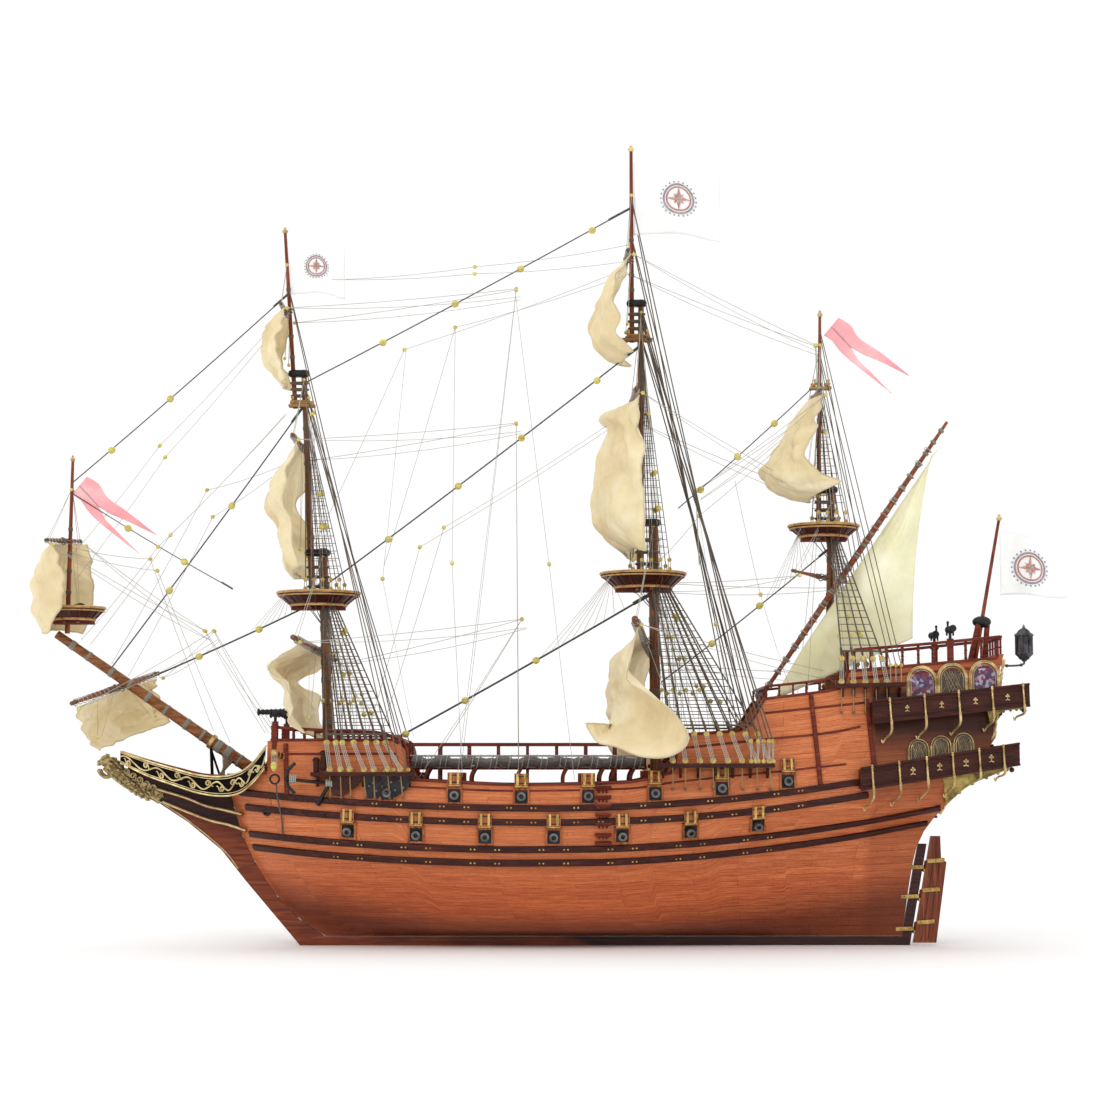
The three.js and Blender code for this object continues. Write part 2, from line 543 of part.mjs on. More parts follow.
// Closes two matching grids of points into one thin body.
function closedSheet({ front, back }, columns, rows) {
  const count = front.length;
  const index = [];
  const quad = (a, b, c, d) => index.push(a, b, c, a, c, d);
  for (let row = 0; row < rows - 1; row += 1) {
    for (let column = 0; column < columns - 1; column += 1) {
      const a = row * columns + column;
      quad(a, a + 1, a + columns + 1, a + columns);
      quad(count + a, count + a + columns, count + a + columns + 1, count + a + 1);
    }
  }
  const rim = [];
  for (let column = 0; column < columns - 1; column += 1) rim.push(column);
  for (let row = 0; row < rows - 1; row += 1) rim.push(row * columns + columns - 1);
  for (let column = columns - 1; column > 0; column -= 1) rim.push((rows - 1) * columns + column);
  for (let row = rows - 1; row > 0; row -= 1) rim.push(row * columns);
  rim.forEach((a, i) => {
    const b = rim[(i + 1) % rim.length];
    quad(b, a, count + a, count + b);
  });
  const geometry = new THREE.BufferGeometry().setFromPoints([...front, ...back]);
  geometry.setIndex(index);
  return geometry;
}

function lateenSail() {
  return sideProfile([[112, 164], [201, 202], [207, 250], [214, 318], [212.5, 320.8], [115.7, 179.7]], -7.6, -5.6);
}

function sternEnsign() {
  return sideProfile([[263, 280], [255.8, 237], [282, 233], [303, 221], [310, 263], [288, 276]], -0.8, 0.8);
}

// ---- Assembly ------------------------------------------------------------------------------------
addPiece("keel", keel(), WOOD.dark);
addPiece("hull_planking", hullPlanking(), WOOD.hull);
addPiece("main_deck", mainDeck(), WOOD.deck);
addPiece("forecastle_deck", forecastleDeck(), WOOD.deck);
addPiece("quarterdeck", quarterdeck(), WOOD.deck);
addPiece("poop_deck", poopDeck(), WOOD.deck);
addPiece("waist_gangway", waistGangway(), WOOD.dark);
addPiece("beakhead", beakhead(), WOOD.dark);
addPiece("figurehead", figurehead(), BRASS, 0.4, 0.8);
addPiece("lower_gallery", gallery(LOWER_GALLERY), WOOD.dark);
addPiece("upper_gallery", gallery(UPPER_GALLERY), WOOD.dark);
addPiece("rudder", rudder(), WOOD.dark);
addPiece("stern_lantern", sternLantern(), BLACK, 0.5, 0.7);

for (const [label, side] of [["port", -1], ["starboard", 1]]) {
  addPiece(`fore_channel_${label}`, channel(-192, -125, 112.5, side), WOOD.dark);
  addPiece(`main_channel_${label}`, channel(28, 103, 118, side), WOOD.dark);
  addPiece(`anchor_${label}`, anchor(side), BLACK, 0.5, 0.6);
  for (const [name, x, y, , head, outboard] of SWIVELS) {
    addPiece(`${name}_${label}`, swivelGun(x, side * y, head, -side * outboard), BLACK, 0.4, 0.8);
  }
}
for (const [name, spar] of Object.entries(SPARS)) addPiece(name, sparBar(spar), WOOD.spar);
for (const [name, top] of Object.entries(TOPS)) addPiece(name, topPlatform(top), WOOD.tan);
for (const [name, yard] of Object.entries(YARDS)) addPiece(name, squareYard(yard), WOOD.spar);
addPiece("lateen_yard", taperedSpar(LATEEN.foot, LATEEN.peak, LATEEN.radius, LATEEN.radius * 0.5), WOOD.spar);
for (const [name, sail] of Object.entries(SQUARE_SAILS)) addPiece(name, squareSail(sail), CANVAS, 0.9);
addPiece("lateen_sail", lateenSail(), CANVAS, 0.9);
addPiece("stern_ensign", sternEnsign(), CANVAS, 0.9);

export default ship;
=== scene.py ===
"""A three-masted model galleon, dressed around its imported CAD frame.

Lengths in this script are millimetres unless a name ends in _M; Shape turns them into metres.
+X is aft, -Y is port, +Z is up, and the origin is under the keel amidships.
"""
import math
import random

import bmesh
import bpy
from mathutils import Matrix, Vector, noise


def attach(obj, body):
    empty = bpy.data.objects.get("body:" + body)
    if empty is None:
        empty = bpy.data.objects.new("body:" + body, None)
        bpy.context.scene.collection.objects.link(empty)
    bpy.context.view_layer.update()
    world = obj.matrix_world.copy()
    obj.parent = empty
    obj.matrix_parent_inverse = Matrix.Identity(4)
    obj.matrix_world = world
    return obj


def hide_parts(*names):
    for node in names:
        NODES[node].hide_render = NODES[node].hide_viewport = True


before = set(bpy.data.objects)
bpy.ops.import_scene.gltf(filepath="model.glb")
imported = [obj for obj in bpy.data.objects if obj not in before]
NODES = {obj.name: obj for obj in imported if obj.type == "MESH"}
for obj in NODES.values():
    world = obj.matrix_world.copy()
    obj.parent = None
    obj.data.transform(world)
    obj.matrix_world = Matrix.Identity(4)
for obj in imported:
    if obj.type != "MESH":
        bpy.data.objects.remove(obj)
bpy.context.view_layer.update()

MM = 0.001
SHIP = "ship"
SIDES = (-1, 1)  # port, starboard
random.seed(11)

# ---- Camera, stage and lights ---------------------------------------------------------------
CAMERA_AT_M = (-0.0504, -1.600, 0.112)
CAMERA_PITCH = 0.0921
CAMERA_YAW = 0.0071
CAMERA_LENS = 78.94


def add_object(name, data):
    made = bpy.data.objects.new(name, data)
    bpy.context.scene.collection.objects.link(made)
    return made


def make_camera():
    data = bpy.data.cameras.new("camera")
    data.lens, data.sensor_width = CAMERA_LENS, 36
    data.clip_start, data.clip_end = 0.05, 60
    camera = add_object("camera", data)
    camera.location = CAMERA_AT_M
    level = math.cos(CAMERA_PITCH)
    look = Vector((math.sin(CAMERA_YAW) * level, math.cos(CAMERA_YAW) * level, math.sin(CAMERA_PITCH)))
    camera.rotation_euler = look.to_track_quat("-Z", "Y").to_euler()
    bpy.context.scene.camera = camera


def area_light(name, at, towards, size, energy, colour=(1, 1, 1)):
    data = bpy.data.lights.new(name, "AREA")
    data.shape, data.size, data.energy, data.color = "DISK", size, energy, colour
    light = add_object(name, data)
    light.location = at
    light.rotation_euler = (Vector(towards) - Vector(at)).to_track_quat("-Z", "Y").to_euler()


def make_lights():
    area_light("key", (-1.3, -1.9, 1.9), (0, 0, 0.2), 1.4, 11, (1, 0.985, 0.96))
    area_light("fill", (1.7, -1.5, 0.9), (0, 0, 0.2), 1.6, 3.5)
    area_light("top", (0.2, 0.4, 2.4), (0, 0, 0.1), 1.6, 5)
    world = bpy.data.worlds.new("studio")
    bpy.context.scene.world = world
    world.use_nodes = True
    world.node_tree.nodes["Background"].inputs["Color"].default_value = (1, 1, 1, 1)
    world.node_tree.nodes["Background"].inputs["Strength"].default_value = 1.0
    bpy.context.scene.view_settings.view_transform = "Standard"


# ---- Shapes: millimetre geometry gathered into one mesh ----------------------------------------
def frames_along(path, closed=False):
    """The direction of travel and two side directions at each point of a path, without twist."""
    count = len(path)
    tangents = []
    for i in range(count):
        before = path[i - 1] if i or closed else path[0]
        after = path[(i + 1) % count] if i < count - 1 or closed else path[-1]
        way = after - before
        tangents.append(way.normalized() if way.length > 1e-9 else Vector((0, 0, 1)))
    first = tangents[0]
    side = first.cross(Vector((0, 0, 1)))
    if side.length < 1e-3:
        side = first.cross(Vector((0, 1, 0)))
    side.normalize()
    frames = []
    for way in tangents:
        side = (side - way * side.dot(way))
        side = side.normalized() if side.length > 1e-6 else way.orthogonal().normalized()
        frames.append((way, side, way.cross(side)))
    return frames


class Shape:
    """Vertices in millimetres, faces, a material number for each face and a flat map in millimetres."""

    def __init__(self):
        self.points, self.faces, self.slots, self.flat = [], [], [], []

    def add(self, points, faces, slot=0, flat=None):
        base = len(self.points)
        self.points.extend(points)
        self.flat.extend(flat or [(0.0, 0.0)] * len(points))
        self.faces.extend([base + i for i in face] for face in faces)
        self.slots.extend([slot] * len(faces))

    def rows(self, rows, slot=0, ring=True, caps=True, loop=False, flat=None):
        """A skin over rows of points. ring closes each row, loop joins the last row to the first."""
        wide, faces = len(rows[0]), []
        for r in range(len(rows) if loop else len(rows) - 1):
            nxt = (r + 1) % len(rows)
            for c in range(wide if ring else wide - 1):
                d = (c + 1) % wide
                faces.append((r * wide + c, r * wide + d, nxt * wide + d, nxt * wide + c))
        if caps and ring and not loop:
            faces.append(tuple(range(wide))[::-1])
            faces.append(tuple((len(rows) - 1) * wide + c for c in range(wide)))
        self.add([p for row in rows for p in row], faces, slot, flat)

    def tube(self, path, radius, sides=6, slot=0, closed=False, squash=1.0):
        """A round rod along a path; radius is one number or one for each point."""
        path = [Vector(p) for p in path]
        radii = radius if isinstance(radius, (list, tuple)) else [radius] * len(path)
        rows, flat, travel = [], [], 0.0
        for i, (_, a, b) in enumerate(frames_along(path, closed)):
            travel += (path[i] - path[i - 1]).length if i else 0.0
            row = []
            for k in range(sides):
                turn = 2 * math.pi * k / sides
                row.append(path[i] + radii[i] * (a * math.cos(turn) + b * (squash * math.sin(turn))))
                flat.append((travel, 2 * math.pi * radii[i] * k / sides))
            rows.append(row)
        self.rows(rows, slot, loop=closed, flat=flat)

    def lathe(self, at, axis, profile, sides=12, slot=0, up=None):
        """A turned piece: profile holds (distance along the axis, radius)."""
        axis = Vector(axis).normalized()
        a = (Vector(up) if up else axis.orthogonal()).normalized()
        b = axis.cross(a)
        rows = []
        for along, radius in profile:
            turns = [2 * math.pi * k / sides for k in range(sides)]
            rows.append([Vector(at) + axis * along + max(radius, 0.01) * (a * math.cos(t) + b * math.sin(t))
                         for t in turns])
        self.rows(rows, slot)

    def bar(self, start, end, wide, high, up=(0, 0, 1), slot=0, chamfer=0.18):
        """A squared timber from one point to another, with its long edges taken off."""
        self.mould([start, end], wide, high, [up, up], slot, chamfer)

    def mould(self, path, wide, high, ups, slot=0, chamfer=0.18):
        """A squared moulding along a path; ups gives the direction of its height at each point."""
        path = [Vector(p) for p in path]
        w, h, c = wide / 2, high / 2, min(wide, high) * chamfer
        outline = [(-w + c, -h), (w - c, -h), (w, -h + c), (w, h - c), (w - c, h), (-w + c, h), (-w, h - c),
                   (-w, -h + c)]
        rows, flat, travel = [], [], 0.0
        for i, (way, _, _) in enumerate(frames_along(path)):
            travel += (path[i] - path[i - 1]).length if i else 0.0
            up = Vector(ups[i])
            up = (up - way * up.dot(way)).normalized()
            side = way.cross(up)
            rows.append([path[i] + side * u + up * v for u, v in outline])
            flat.extend((travel, u + v) for u, v in outline)
        self.rows(rows, slot, flat=flat)

    def block(self, low, high, slot=0, chamfer=0.12):
        middle = [(a + b) / 2 for a, b in zip(low, high)]
        self.bar((low[0], middle[1], middle[2]), (high[0], middle[1], middle[2]), high[1] - low[1],
                 high[2] - low[2], slot=slot, chamfer=chamfer)

    def plate(self, outline, axis, thick, slot=0):
        """A flat outline of 3-D points given thickness both ways along an axis."""
        step = Vector(axis).normalized() * (thick / 2)
        self.rows([[Vector(p) - step for p in outline], [Vector(p) + step for p in outline]], slot)

    def ball(self, at, radius, sides=8, slot=0, scale=(1, 1, 1)):
        at, rows = Vector(at), []
        for r in range(sides // 2 + 1):
            lift = math.pi * (r / (sides // 2) - 0.5)
            ring = max(math.cos(lift), 0.02) * radius
            rows.append([at + Vector((ring * math.cos(2 * math.pi * k / sides) * scale[0],
                                      ring * math.sin(2 * math.pi * k / sides) * scale[1],
                                      radius * math.sin(lift) * scale[2])) for k in range(sides)])
        self.rows(rows, slot)

    def stamp(self, other, place, slot=None):
        """Adds another shape moved by a 4x4 placement."""
        base = len(self.points)
        self.points.extend(place @ Vector(p) for p in other.points)
        self.flat.extend(other.flat)
        self.faces.extend([base + i for i in face] for face in other.faces)
        self.slots.extend([slot] * len(other.faces) if slot is not None else other.slots)


def make_piece(name, shape, materials, body=SHIP, sharp=38, stands_for=(), closed=True):
    """Turns a shape into a Blender object that rides on a body."""
    mesh = bpy.data.meshes.new(name)
    mesh.from_pydata([Vector(p) * MM for p in shape.points], [], shape.faces)
    mesh.polygons.foreach_set("material_index", shape.slots)
    for material in materials:
        mesh.materials.append(material)
    loops = mesh.uv_layers.new(name="UVMap").data
    corners = [shape.flat[loop.vertex_index] for loop in mesh.loops]
    loops.foreach_set("uv", [n for uv in corners for n in uv])
    if closed:
        sheet = bmesh.new()
        sheet.from_mesh(mesh)
        bmesh.ops.recalc_face_normals(sheet, faces=sheet.faces)
        sheet.to_mesh(mesh)
        sheet.free()
    mesh.polygons.foreach_set("use_smooth", [True] * len(mesh.polygons))
    mesh.set_sharp_from_angle(angle=math.radians(sharp))
    made = add_object(name, mesh)
    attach(made, body)
    if stands_for:
        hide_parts(*stands_for)
    return made


def smooth_curve(table):
    """A curve through (input, output) pairs that never overshoots them."""
    xs, ys = [p[0] for p in table], [p[1] for p in table]
    steps = [(ys[i + 1] - ys[i]) / (xs[i + 1] - xs[i]) for i in range(len(xs) - 1)]
    slopes = [steps[0]]
    for a, b in zip(steps, steps[1:]):
        slopes.append(0.0 if a * b <= 0 else 2 * a * b / (a + b))
    slopes.append(steps[-1])

    def at(x):
        if x <= xs[0]:
            return ys[0]
        if x >= xs[-1]:
            return ys[-1]
        i = max(k for k in range(len(xs) - 1) if xs[k] <= x)
        width = xs[i + 1] - xs[i]
        t = (x - xs[i]) / width
        return ((2 * t ** 3 - 3 * t ** 2 + 1) * ys[i] + (t ** 3 - 2 * t ** 2 + t) * width * slopes[i]
                + (-2 * t ** 3 + 3 * t ** 2) * ys[i + 1] + (t ** 3 - t ** 2) * width * slopes[i + 1])

    return at


def straight_curve(table):
    """The straight-line curve through (input, output) pairs."""
    def at(x):
        if x <= table[0][0]:
            return table[0][1]
        for (x0, y0), (x1, y1) in zip(table, table[1:]):
            if x <= x1:
                return y0 + (y1 - y0) * (x - x0) / (x1 - x0)
        return table[-1][1]

    return at


def between(a, b, share):
    return Vector(a).lerp(Vector(b), share)


def spaced(low, high, count):
    return [low + (high - low) * i / (count - 1) for i in range(count)]


def through(points, steps=6):
    """A smooth path through 3-D points."""
    points = [Vector(p) for p in points]
    path = []
    for i in range(len(points) - 1):
        p0, p1, p2 = points[max(i - 1, 0)], points[i], points[i + 1]
        p3 = points[min(i + 2, len(points) - 1)]
        for k in range(steps):
            t = k / steps
            path.append(0.5 * (2 * p1 + (p2 - p0) * t + (2 * p0 - 5 * p1 + 4 * p2 - p3) * t ** 2
                               + (3 * p1 - p0 - 3 * p2 + p3) * t ** 3))
    return path + [points[-1]]


# ---- Materials ------------------------------------------------------------------------------------
def rgb(r, g, b):
    """A linear colour from 0-255 screen values."""
    return tuple(((c / 255) / 12.92 if c <= 10 else (((c / 255) + 0.055) / 1.055) ** 2.4)
                 for c in (r, g, b)) + (1.0,)


class Look:
    """Builds one material's node tree."""

    def __init__(self, name, rough=0.5, metal=0.0, **fixed):
        self.material = bpy.data.materials.new(name)
        self.material.use_nodes = True
        self.tree = self.material.node_tree
        self.shader = self.tree.nodes["Principled BSDF"]
        self.shader.inputs["Roughness"].default_value = rough
        self.shader.inputs["Metallic"].default_value = metal
        for label, value in fixed.items():
            self.shader.inputs[label.replace("_", " ")].default_value = value

    def node(self, kind, **values):
        made = self.tree.nodes.new(kind)
        for key, value in values.items():
            if hasattr(made, key):
                setattr(made, key, value)
            else:
                made.inputs[key.replace("_", " ")].default_value = value
        return made

    def link(self, source, target):
        self.tree.links.new(source, target)

    def coordinates(self, scale, flat=False, turn=(0, 0, 0)):
        source = self.node("ShaderNodeTexCoord").outputs["UV" if flat else "Object"]
        mapping = self.node("ShaderNodeMapping", Scale=scale, Rotation=turn)
        self.link(source, mapping.inputs["Vector"])
        return mapping.outputs["Vector"]

    def noise(self, scale, size=1.0, detail=5, rough=0.55, distortion=0.0, flat=False):
        made = self.node("ShaderNodeTexNoise", Scale=size, Detail=detail, Roughness=rough,
                         Distortion=distortion)
        self.link(self.coordinates(scale, flat), made.inputs["Vector"])
        return made.outputs["Fac"]

    def ramp(self, source, stops):
        made = self.node("ShaderNodeValToRGB")
        ramp = made.color_ramp
        while len(ramp.elements) < len(stops):
            ramp.elements.new(0.5)
        for element, (at, colour) in zip(ramp.elements, stops):
            element.position, element.color = at, colour
        self.link(source, made.inputs["Fac"])
        return made.outputs["Color"]

    def mix(self, a, b, share, mode="MIX"):
        made = self.node("ShaderNodeMix", data_type="RGBA", blend_type=mode)
        for socket, value in ((made.inputs[6], a), (made.inputs[7], b), (made.inputs[0], share)):
            if isinstance(value, bpy.types.NodeSocket):
                self.link(value, socket)
            else:
                socket.default_value = value
        return made.outputs[2]

    def spread(self, source, low, high, from_low=0.3, from_high=0.7):
        made = self.node("ShaderNodeMapRange")
        for at, value in zip((1, 2, 3, 4), (from_low, from_high, low, high)):
            made.inputs[at].default_value = value
        self.link(source, made.inputs[0])
        return made.outputs[0]

    def sum_of(self, operation, a, b):
        made = self.node("ShaderNodeMath", operation=operation)
        self.link(a, made.inputs[0])
        self.link(b, made.inputs[1])
        return made.outputs[0]

    def times(self, a, b):
        return self.sum_of("MULTIPLY", a, b)

    def less(self, a, b):
        return self.sum_of("SUBTRACT", a, b)

    def bump(self, source, strength, distance=0.0003):
        made = self.node("ShaderNodeBump", Strength=strength, Distance=distance)
        self.link(source, made.inputs["Height"])
        already = self.shader.inputs["Normal"]
        if already.is_linked:
            self.link(already.links[0].from_socket, made.inputs["Normal"])
        self.link(made.outputs["Normal"], already)

    def finish(self, colour, rough=None):
        self.link(colour, self.shader.inputs["Base Color"])
        if rough is not None:
            self.link(rough, self.shader.inputs["Roughness"])
        return self.material


GRAIN_ALONG, GRAIN_ACROSS = 38, 620  # wood grain repeats per metre


def grain_scale(axis):
    return tuple(GRAIN_ALONG if axis == a else GRAIN_ACROSS for a in "xyz")


def wood(name, dark, mid, light, axis="x", rough=(0.38, 0.56), coat=0.05, bump=0.25):
    look = Look(name, Coat_Weight=coat, Coat_Roughness=0.3, Specular_IOR_Level=0.2)
    streaks = look.noise(grain_scale(axis), detail=7, distortion=0.7)
    clouds = look.noise((18, 18, 18), detail=3)
    colour = look.ramp(streaks, [(0.3, rgb(*dark)), (0.52, rgb(*mid)), (0.75, rgb(*light))])
    colour = look.mix(colour, look.ramp(clouds, [(0.3, rgb(205, 196, 190)), (0.7, rgb(255, 255, 255))]), 0.6,
                      "MULTIPLY")
    pores = look.noise(tuple(3 * s for s in grain_scale(axis)), detail=2)
    look.bump(pores, bump)
    return look.finish(colour, look.spread(streaks, *rough))


def hull_wood():
    """Planked mahogany: strakes run along the flat map, redder and darker below the wales, with painted shade
    on the quarter, under the upper gallery and along the bilge.
    """
    look = Look("hull_wood", Coat_Weight=0.05, Coat_Roughness=0.3, Specular_IOR_Level=0.2)
    planks = look.node("ShaderNodeTexBrick", Scale=1.0, Mortar_Size=0.16, Mortar_Smooth=0.6, Bias=-0.1,
                       Brick_Width=78.0, Row_Height=4.4)
    planks.offset, planks.offset_frequency = 0.37, 3
    planks.inputs["Color1"].default_value = rgb(255, 255, 255)
    planks.inputs["Color2"].default_value = rgb(222, 206, 196)
    planks.inputs["Mortar"].default_value = rgb(122, 92, 80)
    look.link(look.coordinates((1, 1, 1), flat=True), planks.inputs["Vector"])
    streaks = look.noise((0.06, 1.7, 1), detail=8, distortion=0.12, flat=True)
    flecks = look.noise((0.4, 3.4, 1), detail=4, flat=True)
    low = look.ramp(streaks, [(0.26, rgb(146, 62, 28)), (0.5, rgb(194, 100, 56)), (0.76, rgb(224, 134, 84))])
    high = look.ramp(streaks, [(0.26, rgb(166, 80, 42)), (0.5, rgb(210, 122, 74)),
                               (0.76, rgb(234, 156, 106))])
    split = look.node("ShaderNodeSeparateXYZ")
    look.link(look.coordinates((1000, 1000, 1000)), split.inputs[0])
    along, height = split.outputs[0], split.outputs[2]
    colour = look.mix(low, high, look.spread(height, 0.0, 1.0, 40, 66))
    # painted shade: the quarter is darker and redder abaft its upright, and nearly black under the upper
    # gallery
    colour = look.mix(colour, rgb(150, 74, 40), look.spread(along, 0.0, 0.5, 164, 170))
    painted_gallery_shade = look.times(look.times(look.spread(along, 0.0, 0.92, 165, 170),
                                      look.spread(height, 0.0, 1.0, 114, 140)),
                           look.spread(height, 1.0, 0.0, 163, 167))
    colour = look.mix(colour, rgb(42, 12, 9), painted_gallery_shade)
    # painted shade, darker along the bilge, more so where the ends sweep up
    aft_shade_rise = look.spread(along, 0.0, 26.0, 20, 200)
    fore_shade_rise = look.spread(along, 26.0, 0.0, -230, -100)
    colour = look.mix(colour, rgb(86, 34, 18),
                      look.spread(look.less(look.less(height, aft_shade_rise), fore_shade_rise), 0.78, 0.0, 4, 26))
    colour = look.mix(colour, look.ramp(flecks, [(0.34, rgb(184, 160, 150)), (0.56, rgb(255, 255, 255))]),
                      0.5, "MULTIPLY")
    colour = look.mix(colour, planks.outputs["Color"], 0.7, "MULTIPLY")
    look.bump(planks.outputs["Fac"], -0.35)
    look.bump(flecks, 0.12)
    return look.finish(colour, look.spread(streaks, 0.3, 0.46))


def deck_wood():
    """Pale laid planks with dark seams."""
    look = Look("deck_wood", Coat_Weight=0.05)
    planks = look.node("ShaderNodeTexBrick", Scale=1.0, Mortar_Size=0.3, Mortar_Smooth=0.4, Brick_Width=60.0,
                       Row_Height=4.6)
    planks.inputs["Color1"].default_value = rgb(208, 168, 122)
    planks.inputs["Color2"].default_value = rgb(186, 142, 98)
    planks.inputs["Mortar"].default_value = rgb(74, 46, 30)
    look.link(look.coordinates((1000, 1000, 1000)), planks.inputs["Vector"])
    streaks = look.noise(grain_scale("x"), detail=7, distortion=0.5)
    colour = look.mix(planks.outputs["Color"],
                      look.ramp(streaks, [(0.3, rgb(188, 172, 158)), (0.7, rgb(255, 255, 255))]), 0.8,
                      "MULTIPLY")
    look.bump(planks.outputs["Fac"], -0.5)
    return look.finish(colour, look.spread(streaks, 0.42, 0.6))


def cloth(name, low, mid, high, translucent=0.12, crease=0.25, sheen=0.15):
    look = Look(name, rough=0.86, Sheen_Weight=sheen, Subsurface_Weight=translucent)
    look.shader.inputs["Subsurface Radius"].default_value = (0.004, 0.003, 0.002)
    look.shader.inputs["Subsurface Scale"].default_value = 0.5
    clouds = look.noise((24, 24, 24), detail=6, rough=0.6)
    colour = look.ramp(clouds, [(0.3, rgb(*low)), (0.52, rgb(*mid)), (0.72, rgb(*high))])
    weave = look.node("ShaderNodeTexChecker", Scale=1.0)
    look.link(look.coordinates((2.4, 2.4, 1), flat=True, turn=(0, 0, 0)), weave.inputs["Vector"])
    look.bump(look.noise((46, 46, 30), detail=4, distortion=1.2), 0.6, 0.004)
    look.bump(look.noise((260, 260, 260), detail=6), crease)
    look.bump(weave.outputs["Fac"], 0.12, 0.0001)
    return look.finish(colour)


def metal(name, dark, light, rough=(0.3, 0.5), level=1.0, size=160, bump=0.2):
    look = Look(name, metal=level)
    wear = look.noise((size, size, size), detail=6, rough=0.6)
    look.bump(wear, bump)
    return look.finish(look.ramp(wear, [(0.34, rgb(*dark)), (0.66, rgb(*light))]),
                       look.spread(wear, rough[1], rough[0]))


def cordage(name, dark, light, twist=1.5):
    """Laid rope: slanting strands, drawn on the rope's own flat map."""
    look = Look(name, rough=0.8, Sheen_Weight=0.2)
    strands = look.node("ShaderNodeTexWave", wave_type="BANDS", bands_direction="DIAGONAL", Scale=0.32,
                        Distortion=0.6,
                        Detail=2.0)
    look.link(look.coordinates((twist, twist * 1.6, 1), flat=True), strands.inputs["Vector"])
    colour = look.ramp(strands.outputs["Fac"], [(0.2, rgb(*dark)), (0.75, rgb(*light))])
    tint = look.noise((60, 60, 60), detail=3)
    colour = look.mix(colour, look.ramp(tint, [(0.3, rgb(205, 200, 195)), (0.7, rgb(255, 255, 255))]), 0.7,
                      "MULTIPLY")
    look.bump(strands.outputs["Fac"], 0.5, 0.0002)
    return look.finish(colour)


def stained(name, palette, size=900.0, rough=0.5):
    """A painted panel with soft patches of several colours and no picture."""
    look = Look(name, rough=rough, Coat_Weight=0.3)
    cells = look.node("ShaderNodeTexVoronoi", Scale=1.0)
    look.link(look.coordinates((size, size, size)), cells.inputs["Vector"])
    split = look.node("ShaderNodeSeparateColor")
    look.link(cells.outputs["Color"], split.inputs[0])
    colour = look.ramp(split.outputs[0], [(i / len(palette), rgb(*c)) for i, c in enumerate(palette)])
    look.bump(cells.outputs["Distance"], 0.2)
    return look.finish(colour)


def plain_stage(name, value):
    look = Look(name, rough=0.9)
    grit = look.noise((9, 9, 9), detail=3)
    near = tuple(c * 0.985 for c in value[:3]) + (1.0,)
    return look.finish(look.ramp(grit, [(0.2, near), (0.8, value)]))


HULL = hull_wood()
DECK = deck_wood()
WALE = wood("wale_wood", (34, 11, 9), (60, 23, 17), (92, 42, 30), rough=(0.32, 0.48))
DARK = wood("dark_wood", (36, 12, 8), (64, 24, 15), (92, 42, 26))
RAIL = wood("rail_wood", (70, 22, 14), (112, 42, 28), (146, 66, 44))
SPAR = wood("spar_wood", (84, 32, 16), (126, 58, 32), (164, 92, 58), axis="z")
MAST = wood("mast_wood", (74, 42, 24), (118, 74, 46), (158, 112, 76), axis="z")
BOWSPRIT_WOOD = wood("bowsprit_wood", (86, 46, 22), (132, 80, 42), (176, 124, 76))
LID = wood("lid_wood", (116, 54, 26), (164, 92, 50), (204, 136, 84), axis="z")
YARD_WOOD = wood("yard_wood", (92, 44, 26), (140, 76, 48), (178, 112, 78), axis="y")
TAN = wood("top_wood", (120, 84, 48), (168, 128, 82), (202, 166, 118), rough=(0.42, 0.6))
BOX = wood("boxwood", (178, 160, 70), (222, 208, 112), (240, 232, 160), rough=(0.4, 0.55))
OLIVE = wood("olive_wood", (146, 118, 58), (200, 172, 94), (232, 212, 138), axis="z")
GOLD = metal("gilding", (150, 116, 62), (230, 204, 148), rough=(0.3, 0.46), level=0.6, bump=0.35)
BRASS = metal("brass_pins", (138, 104, 50), (212, 180, 112), rough=(0.3, 0.45), level=0.8)
BLACK = metal("black_metal", (10, 10, 12), (34, 33, 36), rough=(0.34, 0.5), level=0.35)
PEWTER = metal("pewter", (44, 42, 46), (92, 90, 96), rough=(0.36, 0.55), level=0.7)
STEEL = metal("muzzle_grey", (60, 58, 60), (122, 118, 118), rough=(0.4, 0.55), level=0.6)
CANVAS = cloth("canvas", (210, 188, 142), (232, 214, 172), (246, 234, 202))
# the lateen's canvas is paler than the other sails, and brightened as painted light because the lateen sail
# stands in shade
BRIGHTENED_LATEEN_CANVAS = cloth("brightened_lateen_canvas", (224, 218, 172), (240, 236, 198), (250, 248, 222))
FLAG = cloth("flag_cloth", (236, 236, 234), (246, 246, 245), (252, 252, 252), sheen=0.3)
PENNANT = cloth("pennant_cloth", (236, 140, 148), (244, 168, 174), (252, 210, 212), sheen=0.3)
ROPE_DARK = cordage("tarred_rope", (46, 42, 44), (92, 88, 90))
ROPE_GREY = cordage("grey_rope", (58, 47, 38), (116, 98, 82))
ROPE_PALE = cordage("pale_line", (150, 146, 136), (206, 202, 190))
LANYARD = cordage("lanyard_line", (132, 132, 122), (204, 202, 188))
WIRE = cordage("gilt_wire", (122, 92, 52), (186, 150, 96))
NET = cordage("netting", (70, 66, 68), (128, 122, 120), twist=2.4)
MURAL = stained("painted_panel",
                [(40, 24, 60), (130, 34, 48), (176, 168, 190), (36, 46, 104), (60, 24, 40), (96, 30, 70)],
                size=460.0)
LATTICE = stained("dark_lattice", [(22, 16, 16), (52, 40, 34), (86, 70, 50), (30, 22, 20)], size=1400.0)
CREST = stained("crest_colours", [(168, 96, 96), (196, 168, 120), (120, 110, 128), (206, 188, 180)],
                size=700.0)


